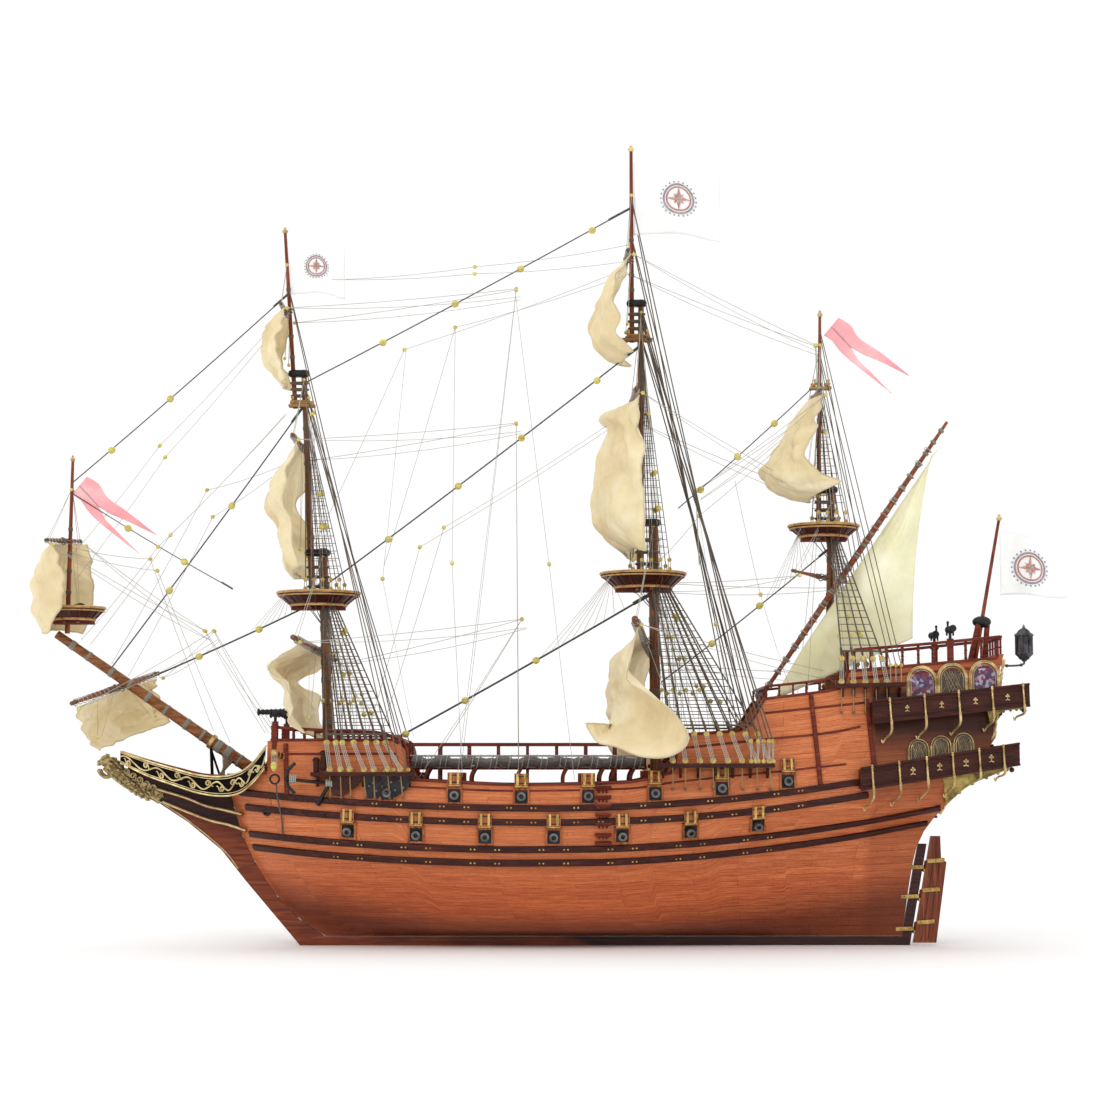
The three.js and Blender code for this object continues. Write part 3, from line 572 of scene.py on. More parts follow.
# ---- The hull's form, as the CAD has it ---------------------------------------------------------
KEEL_HALF_WIDTH = 2
HULL_BOTTOM = 6
PLANK = 3
BEAK_BULKHEAD_X = -222
RUN_START = 0.45
BOW_X = smooth_curve([(6, -186), (17, -203), (32, -218), (55, -233), (71, -241), (90, -247), (112, -252),
                      (195, -256)])
STERN_X = smooth_curve([(6, 191.2), (66, 202.1), (90, 214), (112, 233), (133, 246.5), (167, 250),
                        (195, 257.5)])
HALF_BREADTH = smooth_curve([(6, 2.2), (9, 20), (14, 33), (22, 43), (34, 51), (50, 57), (68, 60.5),
                             (80, 61.5),
                             (92, 61), (112, 57.5), (133, 53), (150, 49.5), (167, 46.5), (195, 42.5)])
TRANSOM_SHARE = smooth_curve([(6, .03), (55, .04), (68, .09), (80, .28), (92, .6), (112, .64), (195, .67)])
ENTRY_LENGTH = smooth_curve([(6, .5), (50, .36), (92, .3), (195, .28)])
ENTRY_POWER = smooth_curve([(6, 1), (34, .8), (92, .5), (133, .42), (195, .4)])
RUN_POWER = smooth_curve([(6, 1), (50, 1.3), (92, 2.2), (195, 2.4)])
SHEER_LINE = [(-400, 112), (-222.02, 112), (-222, 133), (-138, 133), (-132, 127), (-130, 108), (-60, 104.5),
              (10, 106),
              (38, 112), (42, 136), (82, 139), (88, 143), (93, 150), (98, 159.5), (141, 165), (149, 167),
              (152, 177.5), (262, 187.5)]
SHEER = straight_curve(SHEER_LINE)


def half_breadth(share, z):
    share = min(max(share, 0.0), 1.0)
    entry = min(share / ENTRY_LENGTH(z), 1)
    bow = (1 - (1 - entry) ** 2) ** ENTRY_POWER(z)
    run = max(share - RUN_START, 0) / (1 - RUN_START)
    stern = 1 - (1 - TRANSOM_SHARE(z)) * run ** RUN_POWER(z)
    return max(HALF_BREADTH(z) * bow * stern, KEEL_HALF_WIDTH)


def hull_x(share, z):
    return BOW_X(z) + share * (STERN_X(z) - BOW_X(z))


def hull_share(x, z):
    return (x - BOW_X(z)) / (STERN_X(z) - BOW_X(z))


def hull_y(x, z):
    return half_breadth(hull_share(x, z), z)


def on_hull(x, z, side=-1, out=0.0):
    """A point on the planking at a length and height, and the outward direction there."""
    along = hull_y(x + 0.5, z) - hull_y(x - 0.5, z)
    rise = hull_y(x, z + 0.5) - hull_y(x, z - 0.5)
    normal = Vector((-along, side, -rise)).normalized()
    return Vector((x, side * hull_y(x, z), z)) + normal * out, normal


def hull_shell():
    """The planked shell with its thickness, following the sheer, its two ends closed."""
    shape = Shape()
    shares = {s / 90 for s in range(91)} | {(s / 20) ** 2 * 0.12 for s in range(21)}
    for x, z in SHEER_LINE[1:-1]:
        shares.add(hull_share(x, z))
    shares = sorted(s for s in shares if 0 <= s <= 1)
    levels = 34

    def top_of(share):
        low, high = 96.0, 200.0
        for _ in range(40):
            middle = (low + high) / 2
            if middle < SHEER(hull_x(share, middle)):
                low = middle
            else:
                high = middle
        return low

    rows, flat = [], []
    for share in shares:
        top = top_of(share)
        heights = [HULL_BOTTOM + (top - HULL_BOTTOM) * (i / levels) ** 0.85 for i in range(levels + 1)]
        outer, inner = {}, {}
        for side in SIDES:
            outer[side] = [Vector((hull_x(share, z), side * half_breadth(share, z), z)) for z in heights]
            inner[side] = [Vector((hull_x(share, z), side * max(half_breadth(share, z) - PLANK, 0.6), z))
                           for z in heights]
        rows.append(outer[-1] + inner[-1][::-1] + inner[1] + outer[1][::-1])
        mids = [i * 190 / levels for i in range(levels + 1)]
        x = 430 * share
        flat += [(x, m) for m in mids] + [(x, m) for m in mids[::-1]] + [(x + 31, m)
            for m in mids] + [(x + 31, m) for m in mids[::-1]]
    shape.rows(rows, caps=False, flat=flat)
    wide = len(rows[0])
    n = levels + 1
    for row in (0, len(rows) - 1):
        base = row * wide
        for i in range(levels):
            shape.faces.append([base + i, base + i + 1, base + 2 * n - 2 - i, base + 2 * n - 1 - i])
            shape.faces.append([base + 2 * n + i, base + 2 * n + i + 1, base + 4 * n - 2 - i,
                                base + 4 * n - 1 - i])
            shape.slots += [0, 0]
    return shape


def cross_wall(x_of, low, high, wide_of, thick, steps=16, slot=0, shape=None):
    """A wall right across the ship between two heights; x_of and wide_of give its place at each."""
    shape = shape or Shape()
    rows = []
    flat = []
    for z in spaced(low, high, steps):
        x, y = x_of(z), wide_of(z)
        rows.append([Vector((x, -y, z)), Vector((x, y, z)), Vector((x - thick, y - 1, z)),
                     Vector((x - thick, 1 - y, z))])
        flat += [(-y, z), (y, z), (y, z + 2), (-y, z + 2)]
    shape.rows(rows, slot, flat=flat)
    return shape


def make_hull():
    shell = hull_shell()
    transom = cross_wall(lambda z: STERN_X(z) + 0.3, 66, SHEER(252) + 3, lambda z: half_breadth(1, z) + 0.1,
                         4)
    shell.stamp(transom, Matrix())
    wall = cross_wall(lambda z: BEAK_BULKHEAD_X + PLANK, 96, 133,
                      lambda z: hull_y(BEAK_BULKHEAD_X + 1, z) - 0.4, PLANK)
    shell.stamp(wall, Matrix())
    for x, y, foot, head in ((-217, 36.5, 122, 145), (221, 31, 172, 199)):
        for side in SIDES:
            shell.bar((x, side * y, foot), (x, side * y, head), 4, 4, up=(1, 0, 0), slot=1)
            shell.lathe((x, side * y, head - 3.4), (0, 0, 1), [(0, 2.9), (1.0, 3.1), (1.2, 2.4)], sides=8,
                        slot=1)
    make_piece("hull_shell", shell, [HULL, RAIL], stands_for=["hull_planking"], sharp=32)


def hull_line(points, step=6.0):
    """Points (x, z) every few millimetres along a smooth line through the given ones."""
    curve = smooth_curve(points)
    count = max(int((points[-1][0] - points[0][0]) / step), 2)
    return [(x, curve(x)) for x in spaced(points[0][0], points[-1][0], count + 1)]


def hull_strip(shape, line, high, thick, side, slot=0, sink=0.4):
    """A squared strake lying on the planking along (x, z) points."""
    path, ups = [], []
    for x, z in line:
        point, normal = on_hull(x, z, side, thick / 2 - sink)
        path.append(point)
        ups.append(normal)
    shape.mould(path, high, thick, ups, slot)


SWEEP_LOW_X, SWEEP_AFT, SWEEP_FORE = -45, 0.0004, 0.00026  # where the strakes dip lowest, how fast they rise


def swept(low, x):
    """The height of a strake that dips to low amidships."""
    return low + (SWEEP_AFT if x > SWEEP_LOW_X else SWEEP_FORE) * (x - SWEEP_LOW_X) ** 2


def wale_line(first, last, low):
    return [(x, swept(low, x)) for x in spaced(first, last, 9)]


def port_row(first, pitch, low, count=7):
    return [(first + pitch * k, swept(low, first + pitch * k)) for k in range(count)]


WALES = {"upper": wale_line(-240, 160, 90), "second": wale_line(-236, 164, 81),
         "third": wale_line(-234, 212, 64), "lowest": wale_line(-232, 206, 55.5)}
UPPER_PORTS = port_row(-143, 42.5, 97)
LOWER_PORTS = port_row(-168, 43.5, 72)


def make_wales():
    shape, pins = Shape(), Shape()
    for side in SIDES:
        for name, points in WALES.items():
            hull_strip(shape, hull_line(points), 4.2, 2.4, side)
        for name, ports in (("upper", UPPER_PORTS), ("second", UPPER_PORTS), ("third", LOWER_PORTS),
                            ("lowest", LOWER_PORTS)):
            curve = smooth_curve(WALES[name])
            for x, _ in ports:
                for dx in (-9, -6.5, 6.5, 9):
                    at, normal = on_hull(x + dx, curve(x + dx), side, 1.9)
                    pins.lathe(at, normal, [(0, 0.75), (0.35, 0.6), (0.5, 0.1)], sides=6)
    make_piece("wales", shape, [WALE])
    make_piece("wale_pins", pins, [BRASS])


def make_rails():
    """Cap rails, fender strips and bulwark mouldings on both sides."""
    shape = Shape()
    runs = [
        [(-129, 108.2), (-60, 105), (10, 106.5), (38, 112.5)],
        [(-219, 133.6), (-138.5, 133.6)],
        [(42.5, 136.6), (82, 139.6)],
        [(98.5, 160), (141, 165.5), (149, 167.5)],
        [(153, 178), (251, 187)],
    ]
    for side in SIDES:
        for run in runs:
            path = []
            for x, z in hull_line(run, 8):
                path.append(Vector((x, side * (hull_y(x, z) - 1.4), z)))
            shape.mould(path, 5.4, 1.6, [(0, 0, 1)] * len(path))
        for steps in ([(-138.5, 133.6), (-134, 131), (-131.5, 126), (-130.4, 117), (-129, 108.4)],
                      [(38, 112.5), (40.5, 122), (42.5, 136.6)],
                      [(82, 139.6), (88, 143.6), (93, 150.6), (96, 156), (98.5, 160)],
                      [(149, 167.5), (151, 172), (153, 178)]):
            path = [Vector((x, side * (hull_y(x, z) - 1.4), z)) for x,
                    z in [(p.x, p.z) for p in through([(x, 0, z) for x, z in steps], 4)]]
            shape.mould(path, 5.4, 1.6, [(-0.8, 0, 0.6)] * len(path))
        for run, high, thick in (([(-218, 124.5), (-138, 124.5)], 1.4, 1.0),
                                 ([(44, 128), (96, 133.5), (140, 138), (160, 142)], 1.4, 1.0),
                                 ([(98, 150.5), (140, 155), (164, 157.5)], 1.4, 1.0),
                                 ([(154, 173), (250, 181.5)], 1.6, 1.2),
                                 ([(-129, 103.5), (-60, 101), (10, 102.4), (40, 106.5), (100, 112.6),
                                   (150, 118)], 1.2, 0.9)):
            hull_strip(shape, hull_line(run), high, thick, side)
        for line in ([(-209.5, 131), (-208, 98)], [(128.4, 162), (133, 105)], [(164.4, 160), (168.3, 116)]):
            path, ups = [], []
            for z in spaced(line[0][1], line[1][1], 9):
                x = straight_curve([(line[1][1], line[1][0]), (line[0][1], line[0][0])])(z)
                point, normal = on_hull(x, z, side, 0.7)
                path.append(point)
                ups.append(normal)
            shape.mould(path, 2.8, 2.0, ups)
    make_piece("cap_rails", shape, [RAIL])


def gun_port():
    """One port in its own frame (X along the hull, Z up, -Y outward): frame, hole, muzzle, lid."""
    shape = Shape()
    half, tall = 3.9, 4.2
    for z in (-tall - 0.7, tall + 0.7):
        shape.bar((-half - 1.4, -0.5, z), (half + 1.4, -0.5, z), 1.8, 1.4, slot=0)
    for x in (-half - 0.7, half + 0.7):
        shape.bar((x, -0.5, -tall), (x, -0.5, tall), 1.4, 1.8, up=(0, -1, 0), slot=0)
    # the port's opening is a flat black block, painted shade for the dark inside of the hull
    shape.block((-half, -0.35, -tall), (half, 0.3, tall), slot=1)
    shape.lathe((0, -0.3, -0.2), (0, -1, 0),
                [(0, 2.4), (2.2, 2.4), (2.6, 2.9), (3.4, 2.9), (3.6, 2.3), (3.6, 1.5), (2.0, 1.4)], sides=14,
                slot=2)
    shape.lathe((0, -0.3, -0.2), (0, -1, 0), [(0, 1.5), (2.4, 1.4)], sides=10, slot=1)
    lift = 5.9
    shape.bar((-2.9, -0.9, lift), (2.9, -0.9, lift), 1.0, 1.0, slot=0)
    turn = Matrix.Translation((0, -2.5, lift + 0.2)) @ Matrix.Rotation(-0.16, 4, "X")
    lid = Shape()
    lid.block((-4.4, -0.6, 0.4), (4.4, 0.4, 8.8), slot=0)
    for x in (-2.4, 2.4):
        lid.block((x - 0.75, -1.1, 0.8), (x + 0.75, -0.5, 8.4), slot=3)
    for z in (2.2, 6.8):
        lid.block((-4.0, -0.85, z - 0.35), (4.0, -0.5, z + 0.35), slot=1)
    lid.tube([(-4, -0.2, 0.2), (4, -0.2, 0.2)], 0.5, slot=3)
    shape.stamp(lid, turn)
    return shape


def hull_place(x, z, side, out=0.0):
    point, normal = on_hull(x, z, side, out)
    along = Vector((1, 0, 0)) - normal * normal.x
    up = along.cross(normal) if side > 0 else normal.cross(along)
    up = up if up.z > 0 else -up
    across = along.normalized()
    x_way = across
    z_way = up.normalized()
    y_way = -normal
    return Matrix(((x_way.x, y_way.x, z_way.x, point.x), (x_way.y, y_way.y, z_way.y, point.y),
                   (x_way.z, y_way.z, z_way.z, point.z), (0, 0, 0, 1)))


def make_ports():
    port, shape = gun_port(), Shape()
    for side in SIDES:
        for x, z in UPPER_PORTS + LOWER_PORTS:
            shape.stamp(port, hull_place(x, z, side))
    make_piece("gun_ports", shape, [LID, BLACK, STEEL, OLIVE], closed=True)


def make_ladder():
    """Boarding steps down the side, with their uprights."""
    shape = Shape()
    for side in SIDES:
        for z in (102.5, 96.8, 91.7, 86, 80.3, 73.5, 68.3):
            shape.stamp(step_board(), hull_place(-6.2, z, side))
    make_piece("boarding_steps", shape, [RAIL])


def step_board():
    shape = Shape()
    shape.block((-5.2, -4.4, -0.3), (5.2, 0.4, 0.9))
    shape.block((-4.6, -3.2, -1.3), (4.6, 0.4, -0.3))
    for x in (-2.4, 0, 2.4):
        shape.bar((x, 0.2, -2.6), (x, -2.6, -0.8), 0.9, 0.9)
    return shape


make_camera()
make_lights()
make_hull()
make_wales()
make_rails()
make_ports()
make_ladder()


# ---- Finishes of the CAD nodes that stay ---------------------------------------------------------
def dress(material, *names):
    for name in names:
        node = NODES[name]
        node.data.materials.clear()
        node.data.materials.append(material)


dress(RAIL, "waist_gangway")
dress(DARK, "lower_gallery", "upper_gallery",
      "fore_channel_port", "fore_channel_starboard", "main_channel_port", "main_channel_starboard",
      "beakhead")
dress(DECK, "main_deck", "forecastle_deck", "quarterdeck", "poop_deck")
dress(BLACK, "anchor_port", "anchor_starboard", "bow_swivel_port", "bow_swivel_starboard",
      "poop_swivel_port", "poop_swivel_starboard")
dress(MAST, "foremast", "mainmast", "mizzenmast", "fore_topmast", "main_topmast")
dress(SPAR, "fore_topgallant_mast", "main_topgallant_mast", "mizzen_topmast", "sprit_topmast", "ensign_staff")
dress(BOWSPRIT_WOOD, "bowsprit")
dress(TAN, "sprit_top", "fore_top", "main_top", "mizzen_top")
dress(YARD_WOOD, "fore_course_yard", "fore_topsail_yard", "fore_topgallant_yard", "main_course_yard",
      "main_topsail_yard", "main_topgallant_yard", "crossjack_yard", "mizzen_topsail_yard", "spritsail_yard",
      "sprit_topsail_yard", "lateen_yard")



# ---- Spars and tops, as the CAD has them ---------------------------------------------------------
SPARS = {
    "foremast": ((-184.4, 0, 92.3), (-190.4, 0, 261), 3.5, 2.9),
    "fore_topmast": ((-196.8, 0, 224.4), (-204.2, 0, 381), 2.3, 1.8),
    "fore_topgallant_mast": ((-209.6, 0, 355), (-217.6, 0, 474), 1.6, 1),
    "mainmast": ((30.6, 0, 92.3), (29.4, 0, 281), 3.8, 3.1),
    "main_topmast": ((20.6, 0, 236.4), (21.8, 0, 429), 2.5, 1.9),
    "main_topgallant_mast": ((15.6, 0, 400), (15.4, 0, 531), 1.7, 1.1),
    "mizzenmast": ((143.6, 0, 92.3), (148.6, 0, 303.5), 2.9, 2.3),
    "mizzen_topmast": ((139.6, 0, 270.4), (142, 0, 418), 1.8, 1),
    "bowsprit": ((-214, 0, 99.7), (-366, 0, 203.8), 4.4, 2.8),
    "sprit_topmast": ((-359.2, 0, 204.3), (-357.6, 0, 320), 1.7, 1),
    "ensign_staff": ((239.4, 0, 168.3), (260.2, 0, 281), 1.5, 1),
}
TOPS = {"sprit_top": (-355, 221, 20, 8), "fore_top": (-193, 231, 27, 8.5), "main_top": (22.5, 244, 28, 9.5),
        "mizzen_top": (143, 276, 23, 7.5)}
YARDS = {
    "fore_course_yard": ((-195, 0, 194), 95, 2.1, .06, .03),
         "fore_topsail_yard": ((-206.2, 0, 330), 54, 1.5, 0, 0),
    "fore_topgallant_yard": ((-217.2, 0, 421), 28, 1.1, 0, 0),
         "main_course_yard": ((22.5, 0, 200), 118, 2.6, .09, .06),
    "main_topsail_yard": ((16, 0, 359), 65, 1.7, 0, 0), "main_topgallant_yard": ((12, 0, 456), 34, 1.2, 0, 0),
    "crossjack_yard": ((141.5, 0, 242), 60, 1.3, .44, 0),
         "mizzen_topsail_yard": ((137, 0, 362), 38, 1.1, 0, 0),
    "spritsail_yard": ((-326, 0, 168.4), 56, 1.7, .38, -.22),
         "sprit_topsail_yard": ((-362.6, 0, 266), 34, 1.2, .16, -.08),
}
LATEEN = ((92.7, -6.2, 152), (225.4, -6.2, 345.4), 2.1)


def at_height(spar, z, y=0.0):
    foot, head, _, _ = SPARS[spar]
    share = (z - foot[2]) / (head[2] - foot[2])
    return Vector((foot[0] + (head[0] - foot[0]) * share, y, z))


def spar_radius(spar, z):
    foot, head, low, high = SPARS[spar]
    return low + (high - low) * (z - foot[2]) / (head[2] - foot[2])


def yard_point(yard, share, below=0.0):
    """A point on a yard: share runs from -1 at the port end to 1 at the starboard end."""
    (x, y, z), half, radius, swing, tip = YARDS[yard]
    reach = Vector((-math.sin(swing), -math.cos(swing), math.sin(tip))).normalized() * half
    return Vector((x, y, z)) - reach * share - Vector((0, 0, below))


# ---- Cordage: every line is (points, radius) in one of these shapes -------------------------------
STAYS, BACKSTAYS, SHROUDS, LINES, LANYARDS, DEADEYES, BLOCKS, CHAINS = (Shape() for _ in range(8))


def sagging(a, b, sag=0.0, steps=8):
    a, b = Vector(a), Vector(b)
    return [a.lerp(b, t) - Vector((0, 0, 4 * sag * t * (1 - t))) for t in spaced(0, 1, steps)]


def line(shape, a, b, radius=0.3, sag=0.0, sides=4, steps=None):
    steps = steps or (8 if sag else 2)
    shape.tube(sagging(a, b, sag, steps), radius, sides)


def block(at, size=1.7, way=(0, 0, 1)):
    """A rope block: a rounded shell with a sheave slot."""
    BLOCKS.lathe(Vector(at) - Vector(way).normalized() * size, way,
                 [(0, 0.3 * size), (0.45 * size, 0.82 * size), (size, 0.95 * size), (1.55 * size, 0.8 * size),
                  (2 * size, 0.3 * size)], sides=8)


def deadeye(at, axis, radius=2.0):
    DEADEYES.lathe(Vector(at) - Vector(axis).normalized() * 0.8, axis,
                   [(0, radius * 0.75), (0.3, radius), (0.7, radius * 0.86), (0.9, radius * 0.86),
                    (1.3, radius), (1.6, radius * 0.75)], sides=12)


SHROUD_SETS = {
    # lower deadeyes' x, their height, how far out, upper deadeyes' x and height, mast, height the shrouds
    # meet, ratline range
    "fore": ([-179.7, -172.8, -166.9, -157.8, -151.6, -142.5, -134.5], 113.6, 10.2,
             [-182.3, -176.4, -172.1, -164.8, -156.7, -150.2, -144.3], 131.5, "foremast", 238, (140, 222)),
    "main": ([38, 46, 55.3, 63.6, 73.1, 82, 91.5, 99.7], 119, 10.2, [36, 44, 52, 60, 68.5, 76.5, 85, 92.5],
             137, "mainmast", 250, (145, 234)),
    "mizzen": ([148, 155.8, 163.5, 170.6, 177.6], 169.9, 6.0, [149, 156, 163, 169.5, 175.5], 186,
               "mizzenmast", 279, (195, 268)),
}


def make_shrouds():
    for lower, low_z, out, upper, high_z, mast, meet, (first, last) in SHROUD_SETS.values():
        for side in SIDES:
            legs = []
            for i, (x0, x1) in enumerate(zip(lower, upper)):
                z_hull = low_z - 1.5
                y0 = side * (hull_y(x0, z_hull) + out - 1.5)
                y1 = side * (abs(y0) - (high_z - low_z) * 0.34)
                foot, eye = Vector((x0, y0, low_z)), Vector((x1, y1, high_z))
                top = at_height(mast, meet,
                                side * (spar_radius(mast, meet) + 0.2)) + Vector(((i - len(lower) / 2) * 0.5,
                                    0, 0))
                deadeye(foot + Vector((0, 0, 1)), (0, side, 0.3))
                deadeye(eye, (0, side, 0.3))
                for dx in (-1.1, 0, 1.1):
                    line(LANYARDS, foot + Vector((dx, side * 0.9, 1.4)), eye + Vector((dx, side * 0.9, -0.8)),
                         0.32)
                eye_top = eye + Vector((0, 0, 1.8))
                line(SHROUDS, eye_top, top, 0.5, sides=5)
                SHROUDS.tube([eye_top.lerp(top, 0.01), eye_top.lerp(top, 0.06)], 0.85, 6)
                legs.append((eye_top, top))
                chain, _ = on_hull(x0 - (x1 - x0) * 0.15, low_z - 17 if mast != "mizzenmast" else low_z - 19,
                                   side, 1.2)
                line(CHAINS, foot - Vector((0, 0, 0.8)), chain, 0.42, sides=5)
                CHAINS.ball(chain, 1.05, 8)
            z = first
            while z < last:
                path = []
                for foot, top in legs:
                    share = (z - foot.z) / (top.z - foot.z)
                    path.append(foot.lerp(top, share))
                SHROUDS.tube(path, 0.26, 4)
                z += 4.6
            share = 0.035
            SHROUDS.tube([foot.lerp(top, share) + Vector((0, side * 0.7, 0)) for foot, top in legs], 0.7, 6)


def topmast_shrouds(mast, foot_z, spread_x, spread_y, meet, count, centre_x, first, last):
    for side in SIDES:
        legs = []
        for i in range(count):
            x = centre_x + spread_x * (i / (count - 1) - 0.3)
            foot = Vector((x, side * spread_y, foot_z))
            deadeye(foot, (0, side, 0), 1.4)
            deadeye(foot + Vector((0, -side * 0.6, 6)), (0, side, 0), 1.4)
            for dx in (-0.7, 0.7):
                line(LANYARDS, foot + Vector((dx, side * 0.6, 0.8)), foot + Vector((dx, 0, 5.5)), 0.24)
            top = at_height(mast, meet, side * 1.6)
            start = foot + Vector((0, -side * 0.6, 7))
            line(SHROUDS, start, top, 0.36)
            legs.append((start, top))
        z = first
        while z < last:
            SHROUDS.tube([foot.lerp(top, (z - foot.z) / (top.z - foot.z)) for foot, top in legs], 0.2, 4)
            z += 5.0


def futtocks(top, mast):
    """Short lines from a top's rim down to the mast below it."""
    x, z, rim, depth = TOPS[top]
    for side in SIDES:
        for dx in (-0.45, -0.15, 0.15, 0.45):
            a = Vector((x + dx * rim, side * rim * 0.84, z - 1))
            b = at_height(mast, z - depth - 15,
                          side * (spar_radius(mast, z) + 0.4)) if mast != "sprit_topmast" else Vector((x - 1,
                              side * 2, z - depth - 5))
            line(SHROUDS, a, b, 0.32)


STAY_RUNS = [
    # forward end, after end, thickness
    ("fore stay", (-316, 0, 170), at_height("foremast", 228), 0.62),
    ("main stay", (-166, 0, 121.5), at_height("mainmast", 232), 0.75),
    ("mizzen stay", (34, 0, 172), at_height("mizzenmast", 262), 0.5),
    ("fore topmast stay", (-330, 0, 181), at_height("fore_topmast", 358), 0.5),
    ("main topmast stay", (-189, 0, 236), at_height("main_topmast", 398), 0.55),
    ("mizzen topmast stay", (46, 0, 288), at_height("mizzen_topmast", 374), 0.42),
    ("fore topgallant stay", (-357.5, 0, 305), at_height("fore_topgallant_mast", 433), 0.42),
    ("main topgallant stay", (-204, 0, 372), at_height("main_topgallant_mast", 492), 0.45),
    ("sprit topmast stay", (-357.8, 0, 298), (-250, 0, 234), 0.36),
]


def make_stays():
    for _, low, high, radius in STAY_RUNS:
        low, high = Vector(low), Vector(high)
        STAYS.tube(sagging(low, high, 1.2, 14), radius, 6)
        STAYS.tube(sagging(low.lerp(high, 0.93), high, 0, 3), radius * 1.9, 6)


def make_cordage():
    make_shrouds()
    topmast_shrouds("fore_topmast", 232.5, 22, 23, 352, 5, -193, 246, 345)
    topmast_shrouds("main_topmast", 245.5, 24, 24, 398, 5, 22, 260, 390)
    topmast_shrouds("mizzen_topmast", 277.5, 18, 19, 366, 4, 143, 290, 360)
    for top, mast in (("fore_top", "foremast"), ("main_top", "mainmast"), ("mizzen_top", "mizzenmast")):
        futtocks(top, mast)
    make_stays()


make_cordage()


def rig_pieces():
    make_piece("stays", STAYS, [ROPE_DARK])
    if BACKSTAYS.points:
        make_piece("backstays", BACKSTAYS, [ROPE_GREY])
    make_piece("shrouds", SHROUDS, [ROPE_GREY])
    if LINES.points:
        make_piece("running_lines", LINES, [ROPE_PALE])
    make_piece("lanyards", LANYARDS, [LANYARD])
    make_piece("deadeyes", DEADEYES, [OLIVE])
    if BLOCKS.points:
        make_piece("rope_blocks", BLOCKS, [BOX])
    make_piece("chainplates", CHAINS, [WIRE])





# ---- Sails and flags ---------------------------------------------------------------------------------
# Each square sail: yard, half width at head and foot, side-view profile of its leeches and of its
# middle as (aft, up) from the yard, the size of its creases, the drop that gives its flat cloth the
# area of the cloth as modelled.
SAILS = {
    "fore_course": ("fore_course_yard", 74, 66,
                    [(1, -3), (-8, -9), (-20, -17), (-17, -22), (-9, -27), (-6, -41), (-1, -53), (7, -58)],
                    [(-1, -3), (-10, -9), (-21, -17), (-19, -23), (-13, -30), (-11, -41), (-8, -51),
                     (-4, -56)], 3.0, 78),
    "fore_topsail": ("fore_topsail_yard", 46, 44,
                     [(2, -3), (1, -16), (-6, -38), (3, -54), (1, -66), (3, -78), (5, -86)],
                     [(0, -3), (-11, -18), (-20, -40), (-13, -52), (-12, -66), (-9, -80), (-3, -88)], 3.2,
                     106),
    "fore_topgallant_sail": ("fore_topgallant_yard", 24, 22,
                             [(2, -2), (0, -12), (-3, -23), (-3, -33), (1, -42), (3, -50)],
                             [(-2, -2), (-9, -8), (-15, -24), (-11, -36), (-4, -45), (0, -52)], 2.0, 70),
    "main_course": ("main_course_yard", 96, 86,
                    [(1, -3), (-2, -14), (-4, -26), (-3, -36), (6, -42), (18, -50), (29, -62), (32, -74),
                     (20, -83),
                                                 (4, -83), (-12, -77), (-24, -74), (-31, -62)],
                    [(-1, -3), (-14, -8), (-21, -18), (-23, -31), (-23, -42), (-22, -50), (-18, -56),
                     (-12, -59)], 2.4, 99),
    "main_topsail": ("main_topsail_yard", 54, 50,
                     [(2, -3), (1, -12), (2, -22), (5, -36), (5, -56), (5, -78), (6, -94), (8, -104)],
                     [(0, -3), (-11, -5), (-21, -11), (-13, -18), (-17, -27), (-20, -40), (-24, -58),
                      (-24, -78), (-16, -92), (-4, -100)], 3.0, 137),
    "main_topgallant_sail": ("main_topgallant_yard", 30, 27,
                             [(2, -2), (-5, -14), (-8, -30), (-6, -44), (-9, -54), (-1, -62), (4, -67)],
                             [(0, -2), (-9, -13), (-17, -28), (-22, -44), (-21, -57), (-12, -67), (-3, -70)],
                             2.2, 96),
    "mizzen_topsail": ("mizzen_topsail_yard", 33, 30,
                       [(3, -2), (-1, -18), (-5, -32), (-8, -44), (-2, -53), (9, -57), (17, -60)],
                       [(-5, -3), (-18, -24), (-27, -40), (-35, -51), (-28, -62), (-16, -68), (-6, -70)], 3.2,
                       111),
    "spritsail": ("spritsail_yard", 50, 44, [(1, -3), (0, -10), (2, -19), (7, -27), (13, -32)],
                  [(-1, -3), (-6, -13), (-7, -24), (-3, -32), (2, -35)], 2.6, 43),
    "sprit_topsail": ("sprit_topsail_yard", 31, 29,
                      [(4, -2), (9, -16), (10, -32), (8, -46), (4, -56), (2, -62)],
                      [(-6, -2), (-15, -14), (-19, -30), (-19, -43), (-15, -55), (-11, -60)], 2.4, 90),
}


def along_profile(points, share):
    """The point a given share of the way along a smooth profile."""
    path = through([(x, 0, z) for x, z in points], 8)
    steps = [0.0]
    for a, b in zip(path, path[1:]):
        steps.append(steps[-1] + (b - a).length)
    goal = share * steps[-1]
    for i in range(1, len(path)):
        if goal <= steps[i]:
            t = (goal - steps[i - 1]) / max(steps[i] - steps[i - 1], 1e-9)
            return path[i - 1].lerp(path[i], t)
    return path[-1]


def sheet_piece(name, grid, material, flat, thick=0.35, stands_for=()):
    """A cloth piece from a grid of points, given real thickness."""
    shape = Shape()
    wide, tall = len(grid[0]), len(grid)
    points = [p for row in grid for p in row]
    flat_map = [(flat[0] * c / (wide - 1), flat[1] * r / (tall - 1)) for r in range(tall)
                for c in range(wide)]
    faces = [(r * wide + c, r * wide + c + 1, (r + 1) * wide + c + 1, (r + 1) * wide + c)
             for r in range(tall - 1) for c in range(wide - 1)]
    shape.add(points, faces, flat=flat_map)
    made = make_piece(name, shape, [material], stands_for=stands_for, closed=False, sharp=180)
    solid = made.modifiers.new("cloth", "SOLIDIFY")
    solid.thickness, solid.offset = thick * MM, 0
    return made


def ridged(at):
    """Noise with sharp crests, as crumpled cloth has."""
    return 0.5 - abs(noise.noise(at))


